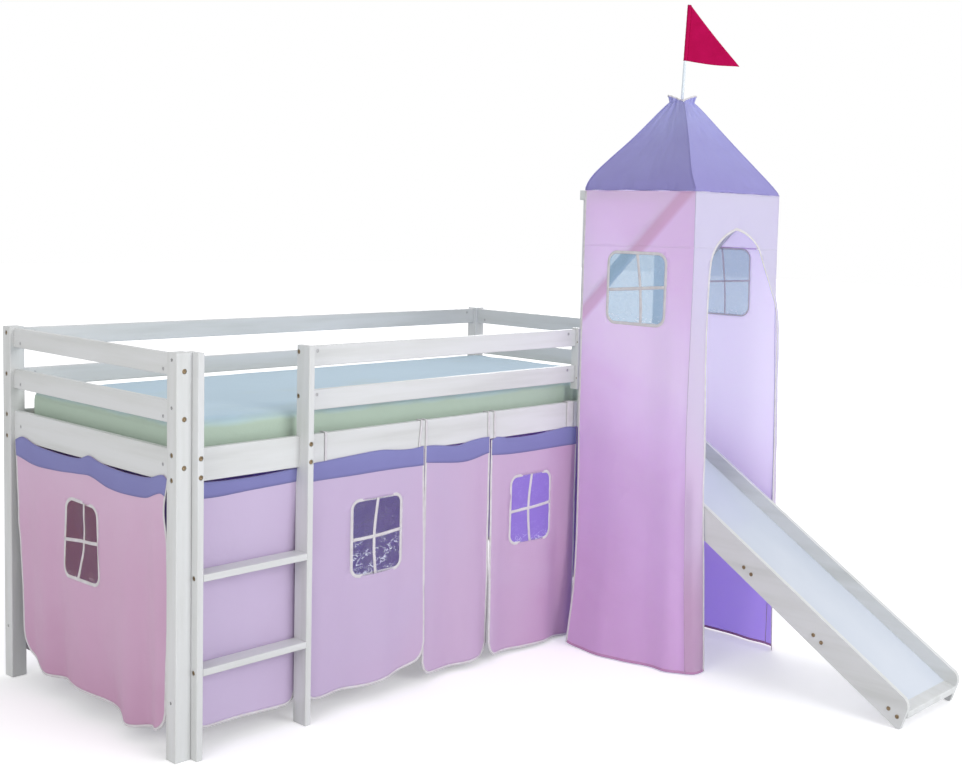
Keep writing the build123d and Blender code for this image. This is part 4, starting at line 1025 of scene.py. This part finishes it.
def arch_edge(at, height):
    """How far a flat point lies outside the arch and the way below it, and the nearest point of its edge."""
    side = arch_half - abs(at - front_middle)
    upright = (front_middle + math.copysign(arch_half, at - front_middle), height)
    if side <= 0:
        return -side, (at, height)
    if height < arch_spring:
        return -side, upright
    over = arch_height(at)
    if height > over:
        return height - over, (at, over)
    return -min(side, over - height), (at, over) if over - height < side * 1.6 else upright


hem_cotton = cloth_finish("hem_cotton", ((0.52, 0.27, 0.47), (0.55, 0.31, 0.52)), (0.0, 0.3), 0.1)
west_hem = smooth_line(((0.0, 0.010), (0.04, 0.004), (0.20, 0.004), (wall_run, 0.004)))
tape_inset = 0.003
hem_rise = 0.004
hem_line = tower_foot + hem_rise
hem_style = {"width": 0.009, "half": 0.0014, "finish": hem_cotton}
seam_style = {"width": 0.005, "half": 0.0012, "finish": tower_cotton}


def tower_wall(name, node, place, run, sewn, rests_on, hem=None, window=None, bows=(0, 0, 0, 0), tape=0.0115,
               opening=None, cotton=tower_cotton, **sheet):
    """One wall, from the arms to its hem, with its window and its sewn lines, which are given by name as
    their runs and their style."""
    foot = hem or (lambda at: tower_foot)
    piece, flat = flat_grid(name, (0.0, run), foot, lambda at: tower_top, cloth_step)
    shape_cloth(piece, flat, place, window=window, opening=opening)
    finish_cloth(piece, [cotton, tower_lining])
    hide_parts(node)
    trims = []
    if window:
        trims += window_set(name, "tower_window_films", place, window, bows, tape=tape, pane=tower_film)
    for line_name, (runs, style) in sewn.items():
        trims.append(taped_line(line_name, place, runs, **style))
    for part in [piece, *trims]:
        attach(part, "frame")


tower_wall("tower_left_cloth", "tower_wall_left", west_place, wall_run, {
    "tower_left_tape": ([even_line((tape_inset, tower_top - tape_inset), (tape_inset, west_hem(0.0)), 90)],
                        {}),
    "tower_left_hem": ([even_line((tape_inset, 0), (wall_run - 0.001, 0), 60,
                                  height=lambda at: west_hem(at) + hem_rise)], hem_style),
    "tower_left_seam": ([even_line((0.0, seam_height - 0.004), (wall_run, seam_height + 0.003), 44)],
                        seam_style),
}, ["tower_arm_left"], hem=west_hem, window=(wall_run * 0.506, 1.279, 0.124, 0.122, 0.036),
    bows=(0.006, 0.024, 0.0, 0.010))

east_edge = wall_run - tape_inset
tower_wall("tower_right_cloth", "tower_wall_right", east_place, wall_run, {
    "tower_right_tape": ([even_line((east_edge, tower_top - tape_inset), (east_edge, tower_foot), 90)], {}),
    "tower_right_hem": ([even_line((0.001, hem_line), (east_edge, hem_line), 50)], hem_style),
    "tower_right_seam": ([even_line((0.0, seam_height - 0.003), (wall_run, seam_height), 44)], seam_style),
}, ["tower_arm_right"], window=(wall_run * 0.494, 1.297, 0.124, 0.122, 0.036),
    bows=(-0.006, -0.020, 0.0, -0.008), tape=0.007)

corner_inset = 0.0012
rim_top = arch_spring - 0.005
arch_rise = 0.105
arch_rim = even_line((left_foot, 0), (right_foot, 0), 56, height=arch_height)
left_rim = even_line((left_foot, tower_foot), (left_foot, rim_top), 80)
right_rim = even_line((right_foot, rim_top), (right_foot, tower_foot), 80)
front_area = (front_run * (tower_top - arch_spring) - 2 * arch_half * arch_rise
              + 2 * strip * (arch_spring - tower_foot))
tower_wall("tower_front_cloth", "tower_wall_front", front_place_on_tower, front_run, {
    "tower_arch_tape": ([left_rim + arch_rim + right_rim], {"width": 0.010}),
    "tower_corner_seams": ([even_line((at, tower_top), (at, tower_foot), 90)
                            for at in (corner_inset, front_run - corner_inset)],
                           {"width": 0.0045, "half": 0.0016, "finish": front_cotton}),
    "tower_front_seam": ([even_line((0.0, seam_height + 0.003), (left_foot + 0.024, seam_height), 14),
                          even_line((right_foot - 0.036, seam_height - 0.002),
                                    (front_run, seam_height - 0.003), 14)],
                         {**seam_style, "finish": front_cotton}),
    "tower_front_hem": ([even_line((0.002, hem_line), (left_foot, hem_line), 14),
                         even_line((right_foot, hem_line), (front_run - 0.002, hem_line), 14)], hem_style),
}, ["tower_arm_left", "tower_arm_right"], opening=arch_edge, cotton=front_cotton, area=round(front_area, 4))

# Roof: four purple cotton panels seamed along the hips, gathered into a short square collar whose two
# flaps stand up with white edges. A seam runs round it just above the eaves.
roof_low, roof_high = (Vector(corner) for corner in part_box("tower_roof"))
collar_rise = 0.024
roof_rise = roof_high.z - roof_low.z - collar_rise
collar_middle = Vector((bed_left + 1.865, bed_front - 0.2362))
collar_half = 0.031
spread_straight = smooth_line(((0, 1.0), (0.1, 0.915), (0.3, 0.712), (0.6, 0.405), (0.9, 0.108), (1.0, 0.0)))
spread_full = smooth_line(((0, 1.0), (0.1, 0.955), (0.2, 0.875), (0.35, 0.71), (0.6, 0.42), (0.9, 0.108),
                           (1.0, 0.0)))
roof_cotton = cloth_finish("roof_cotton", ((0.30, 0.275, 0.58), (0.33, 0.315, 0.62), (0.37, 0.37, 0.68)),
                           (1.60, 1.90), 0.2, glow=0.2)
roof_around = 168
roof_levels = 46
collar_levels = 6


def roof_depth(side, share, up, x):
    """How far a panel lies inside its straight lines: it hangs hollow, wrinkles a little, puckers at the
    eave, gathers at the collar, and stands out along its hips."""
    hollow = math.sin(math.pi * share) ** 0.8 * (0.012 * math.sin(math.pi * up) + 0.002)
    small = noise.noise(Vector((x * 3 + share * 5, up * 7, side * 5.0)))
    finer = noise.noise(Vector((share * 13 + side * 9, up * 4 + share * 6, 2.0)))
    inside = min(share, 1 - share, 0.12) / 0.12
    pucker = max(0.0, 1 - up / 0.12) * 0.0025 * math.sin(share * 60 + 3 * math.sin(share * 17)) * inside
    gather = max(0.0, (up - 0.8) / 0.2) * 0.0025 * math.sin(share * 25 + side)
    hip = max(0.0, 1 - min(share, 1 - share) / 0.012) * 0.003
    depth = hollow + (0.0035 * small + 0.002 * finer) * inside + pucker + gather * inside
    return depth - (hip if 0.02 < up < 1.0 else 0)


def roof_point(around, rise):
    """A point of the roof: how far round, from 0 to 4 along its sides, and how high, above 1 in the
    collar."""
    up = min(rise, 1.0)
    full, straight = spread_full(up), spread_straight(up)
    west = collar_middle.x - collar_half + (roof_low.x - collar_middle.x + collar_half) * full
    east = collar_middle.x + collar_half + (roof_high.x - collar_middle.x - collar_half) * straight
    south = collar_middle.y - collar_half + (roof_low.y - collar_middle.y + collar_half) * straight
    north = collar_middle.y + collar_half + (roof_high.y - collar_middle.y - collar_half) * full
    corners = ((west, south), (east, south), (east, north), (west, north))
    side = int(around) % 4
    share = around - int(around)
    x0, y0 = corners[side]
    x1, y1 = corners[(side + 1) % 4]
    inward = Vector((-(y1 - y0), x1 - x0, 0)).normalized()
    point = Vector((x0 + (x1 - x0) * share, y0 + (y1 - y0) * share, roof_low.z + roof_rise * up))
    point += inward * roof_depth(side, share, up, x0)
    if up < 0.05:
        point.z += 0.0015 * (1 + math.sin(share * 21 + side * 2)) * (min(share, 1 - share, 0.12) / 0.12)
    if rise > 1:
        over = rise - 1
        flap = 0.5 + 0.5 * math.cos((around - 0.95) * math.pi)
        point.z += over * collar_rise * (0.25 + 0.75 * flap)
        point += inward * (-0.010 * over * flap + 0.008 * over * (1 - flap))
    return point


def roof_ring(rise):
    """Points round the roof at one height."""
    return [roof_point(4 * i / roof_around, rise) for i in range(roof_around)]


def roof_sheet(name):
    """The roof's cloth as one closed sheet, from its eave to the collar's rim."""
    mesh = bmesh.new()
    threads = mesh.loops.layers.uv.new("threads")
    rises = [j / roof_levels for j in range(roof_levels + 1)]
    rises += [1 + j / collar_levels for j in range(1, collar_levels + 1)]
    rings = [[mesh.verts.new(point) for point in roof_ring(rise)] for rise in rises]
    for j in range(len(rings) - 1):
        for i in range(roof_around):
            k = (i + 1) % roof_around
            face = mesh.faces.new((rings[j][i], rings[j][k], rings[j + 1][k], rings[j + 1][i]))
            face.smooth = True
            for loop, corner in zip(face.loops, ((i, j), (i + 1, j), (i + 1, j + 1), (i, j + 1))):
                loop[threads].uv = (corner[0] * 2.0 / roof_around, corner[1] * 0.42 / roof_levels)
    return piece_from(mesh, name)


def roof_tape(name, points, radius, finish, closed=False):
    """A bead of tape along points on the roof, with a six-sided section."""
    rings = []
    for before, point, after in neighbours(points, closed):
        run = (after - before).normalized()
        side = run.cross(Vector((0, 0, 1)))
        side = side.normalized() if side.length > 0.05 else Vector((1, 0, 0))
        rise = side.cross(run).normalized()
        rings.append([point + side * math.cos(a) * radius[0] + rise * math.sin(a) * radius[1]
                      for a in (i * math.pi / 3 for i in range(6))])
    tape = bead_piece(name, [(rings, closed)], finish, woven=False)
    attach(tape, "frame")
    return tape


roof = roof_sheet("tower_roof_cloth")
finish_cloth(roof, [roof_cotton, tower_lining])
roof_trims = [roof_tape("roof_collar_edge", roof_ring(2.0), (0.0022, 0.0030), tape_white, closed=True)]
for corner in range(4):
    ridge = [roof_point(corner + 0.0001, j / 40) for j in range(1, 41)]
    roof_trims.append(roof_tape("roof_hip_%d" % corner, ridge, (0.0020, 0.0016), roof_cotton))
roof_trims.append(roof_tape("roof_eave_seam", roof_ring(0.032), (0.0013, 0.0011), roof_cotton, closed=True))
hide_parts("tower_roof")
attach(roof, "frame")

# Flag: a pennant of crimson felt, sewn into a sleeve round a thin white pole that leans a little
pole_tones = ((0.3, (0.62, 0.69, 0.74)), (0.7, (0.70, 0.77, 0.82)))
pole_paint = mottled_finish("pole_paint", (0.66, 0.73, 0.78), 0.3, clouds=(30.0, pole_tones))
paint_nodes(pole_paint, "flag_pole")
felt_tones = ((0.3, (0.41, 0.001, 0.064)), (0.7, (0.47, 0.002, 0.080)))
felt = mottled_finish("crimson_felt", (0.45, 0.0, 0.078), 0.9, clouds=(25.0, felt_tones),
                      marks=(900.0, 4.0, 0.0004, 0.5), Specular_IOR_Level=0.12)
pole_lean = Vector((0.0252, -0.0315, 1.0)).normalized()
pole_foot = Vector((0.7927, -0.06575, 1.582))


def pole_at(height):
    """The pole's middle at a height."""
    return pole_foot + pole_lean * ((height - pole_foot.z) / pole_lean.z)


flag_high = Vector(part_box("flag")[1])
hoist = 0.193
flag_top_height = flag_high.z - 0.001
flag_foot_height = flag_top_height - hoist
flag_course = Vector((0.66, -0.75, 0)).normalized()
flag_tip = pole_at(flag_foot_height) + flag_course * 0.192 + Vector((0, 0, -0.015))
sleeve_radius = 0.0060


def flag_point(along, up):
    """A point of the pennant: how far out to its tip, and how high up its hoist."""
    root = pole_at(flag_foot_height + (flag_top_height - flag_foot_height) * up) + flag_course * 0.0058
    point = root * (1 - along) + flag_tip * along
    across = Vector((-flag_course.y, flag_course.x, 0))
    wave = 0.006 * math.sin(along * 5.2 + up * 1.2) * along
    wave += 0.004 * math.sin(along * 9 + 2) * along * (1 - along)
    return point + across * wave + Vector((0, 0, -0.004 * math.sin(math.pi * along)))


def pennant(name, columns=32, rows=24):
    """The pennant as a flat sheet, whose last column stops just short of the point."""
    mesh = bmesh.new()
    threads = mesh.loops.layers.uv.new("threads")
    lines = []
    for i in range(columns + 1):
        along = min(i / columns, 0.994)
        lines.append([mesh.verts.new(flag_point(along, j / rows)) for j in range(rows + 1)])
    for i in range(columns):
        for j in range(rows):
            face = mesh.faces.new((lines[i][j], lines[i + 1][j], lines[i + 1][j + 1], lines[i][j + 1]))
            face.smooth = True
            for loop in face.loops:
                loop[threads].uv = (loop.vert.co.x + loop.vert.co.y, loop.vert.co.z)
    return piece_from(mesh, name, felt)


def sleeve_ring(height):
    """A ring of the sleeve, drawn out towards the pennant."""
    ring = []
    for k in range(16):
        angle = 2 * math.pi * k / 16
        out = Vector((math.cos(angle), math.sin(angle), 0))
        pull = max(out.dot(flag_course), 0) ** 3 * 0.0022
        ring.append(pole_at(height) + out * (sleeve_radius + pull + 0.0003 * math.sin(height * 300 + k)))
    return ring


flag = pennant("flag_pennant")
felt_wall = flag.modifiers.new("felt_thickness", "SOLIDIFY")
felt_wall.thickness = 0.0016
felt_wall.offset = 0
apply_modifiers(flag)
bpy.ops.object.shade_smooth()
sleeve_mesh = bmesh.new()
join_rings(sleeve_mesh, [sleeve_ring(flag_foot_height + (flag_top_height - flag_foot_height) * i / 24)
                         for i in range(25)])
bmesh.ops.recalc_face_normals(sleeve_mesh, faces=sleeve_mesh.faces)
for face in sleeve_mesh.faces:
    face.smooth = len(face.verts) == 4
sleeve = piece_from(sleeve_mesh, "flag_sleeve", felt)
for part in (flag, sleeve):
    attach(part, "flag")
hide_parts("flag")

# Studio: a pale floor that brightens with distance, a white background, soft lamps and the photograph's
# camera
bpy.ops.object.select_all(action="DESELECT")
bpy.ops.mesh.primitive_plane_add(size=60, location=(0, 0, -0.0005))
floor = bpy.context.object
floor.name = "studio_floor"
floor_pale, floor_tree, floor_shader = new_finish("floor_pale", (0.90, 0.90, 0.905), 0.9)
floor_white = add_node(floor_tree, "ShaderNodeEmission", Color=(1, 1, 1, 1), Strength=1.0)
floor_dark = add_node(floor_tree, "ShaderNodeEmission", Color=(0, 0, 0, 1), Strength=1.0)
floor_ray = add_node(floor_tree, "ShaderNodeLightPath")
floor_reach = add_node(floor_tree, "ShaderNodeVectorMath", {"operation": "LENGTH"},
                       {0: object_place(floor_tree)})
floor_fade = ranged(floor_tree, floor_reach.outputs["Value"], 2.0, 7.0, 0.34, 0.75)
floor_seen = maths(floor_tree, "MULTIPLY", floor_fade, floor_ray.outputs["Is Camera Ray"])
floor_part = add_node(floor_tree, "ShaderNodeMixShader", placed={
    0: floor_seen, 1: floor_dark.outputs["Emission"], 2: floor_white.outputs["Emission"]})
floor_sum = add_node(floor_tree, "ShaderNodeAddShader", placed={
    0: floor_shader.outputs["BSDF"], 1: floor_part.outputs["Shader"]})
floor_tree.links.new(floor_sum.outputs["Shader"], floor_tree.nodes["Material Output"].inputs["Surface"])
floor.data.materials.append(floor_pale)
world = bpy.data.worlds.new("studio")
bpy.context.scene.world = world
world.use_nodes = True
sky = world.node_tree
sky.nodes.clear()
sky_light = add_node(sky, "ShaderNodeBackground", Color=(0.97, 0.98, 1.0, 1), Strength=0.60)
sky_white = add_node(sky, "ShaderNodeBackground", Color=(1, 1, 1, 1), Strength=1.0)
ray = add_node(sky, "ShaderNodeLightPath")
seen = maths(sky, "MAXIMUM", ray.outputs["Is Camera Ray"], ray.outputs["Is Glossy Ray"])
seen_more = maths(sky, "MAXIMUM", seen, ray.outputs["Is Transmission Ray"])
sky_mix = add_node(sky, "ShaderNodeMixShader", placed={
    0: seen_more, 1: sky_light.outputs[0], 2: sky_white.outputs[0]})
add_node(sky, "ShaderNodeOutputWorld", Surface=sky_mix.outputs[0])


def soft_lamp(name, place, aim, size, power, colour):
    """A round lamp that faces a point."""
    lamp = bpy.data.lights.new(name, "AREA")
    lamp.color = colour
    lamp.shape = "DISK"
    lamp.size = size
    lamp.energy = power
    holder = bpy.data.objects.new(name, lamp)
    bpy.context.collection.objects.link(holder)
    holder.location = place
    holder.rotation_euler = (Vector(aim) - Vector(place)).to_track_quat("-Z", "Y").to_euler()


soft_lamp("front_lamp", (0.6, -6.0, 3.0), (0.0, 0.0, 0.9), 3.5, 180, (0.97, 0.985, 1.0))
soft_lamp("side_lamp", (-5.6, -1.6, 3.0), (0.0, 0.0, 0.9), 3.5, 80, (1.0, 0.985, 0.95))
soft_lamp("back_lamp", (5.0, 3.4, 3.0), (0.3, 0.0, 0.9), 3.5, 110, (0.97, 0.985, 1.0))

camera_turn, camera_tilt, camera_roll = (math.radians(a) for a in (48.575, -5.044, 1.693))
forward = Vector((math.sin(camera_turn) * math.cos(camera_tilt),
                  math.cos(camera_turn) * math.cos(camera_tilt), math.sin(camera_tilt)))
level_right = forward.cross(Vector((0, 0, 1))).normalized()
level_up = level_right.cross(forward)
camera_right = level_right * math.cos(camera_roll) + level_up * math.sin(camera_roll)
camera_up = level_up * math.cos(camera_roll) - level_right * math.sin(camera_roll)
lens = bpy.data.cameras.new("photo_camera")
lens.sensor_width = 36
lens.lens = 49.217
lens.shift_x = -0.0891
lens.shift_y = -0.0474
camera = bpy.data.objects.new("photo_camera", lens)
bpy.context.collection.objects.link(camera)
camera.matrix_world = Matrix((
    (camera_right.x, camera_up.x, -forward.x, bed_left - 1.9100),
    (camera_right.y, camera_up.y, -forward.y, bed_front - 3.0576),
    (camera_right.z, camera_up.z, -forward.z, 1.4996),
    (0, 0, 0, 1)))
bpy.context.scene.camera = camera
bpy.context.scene.view_settings.view_transform = "Standard"
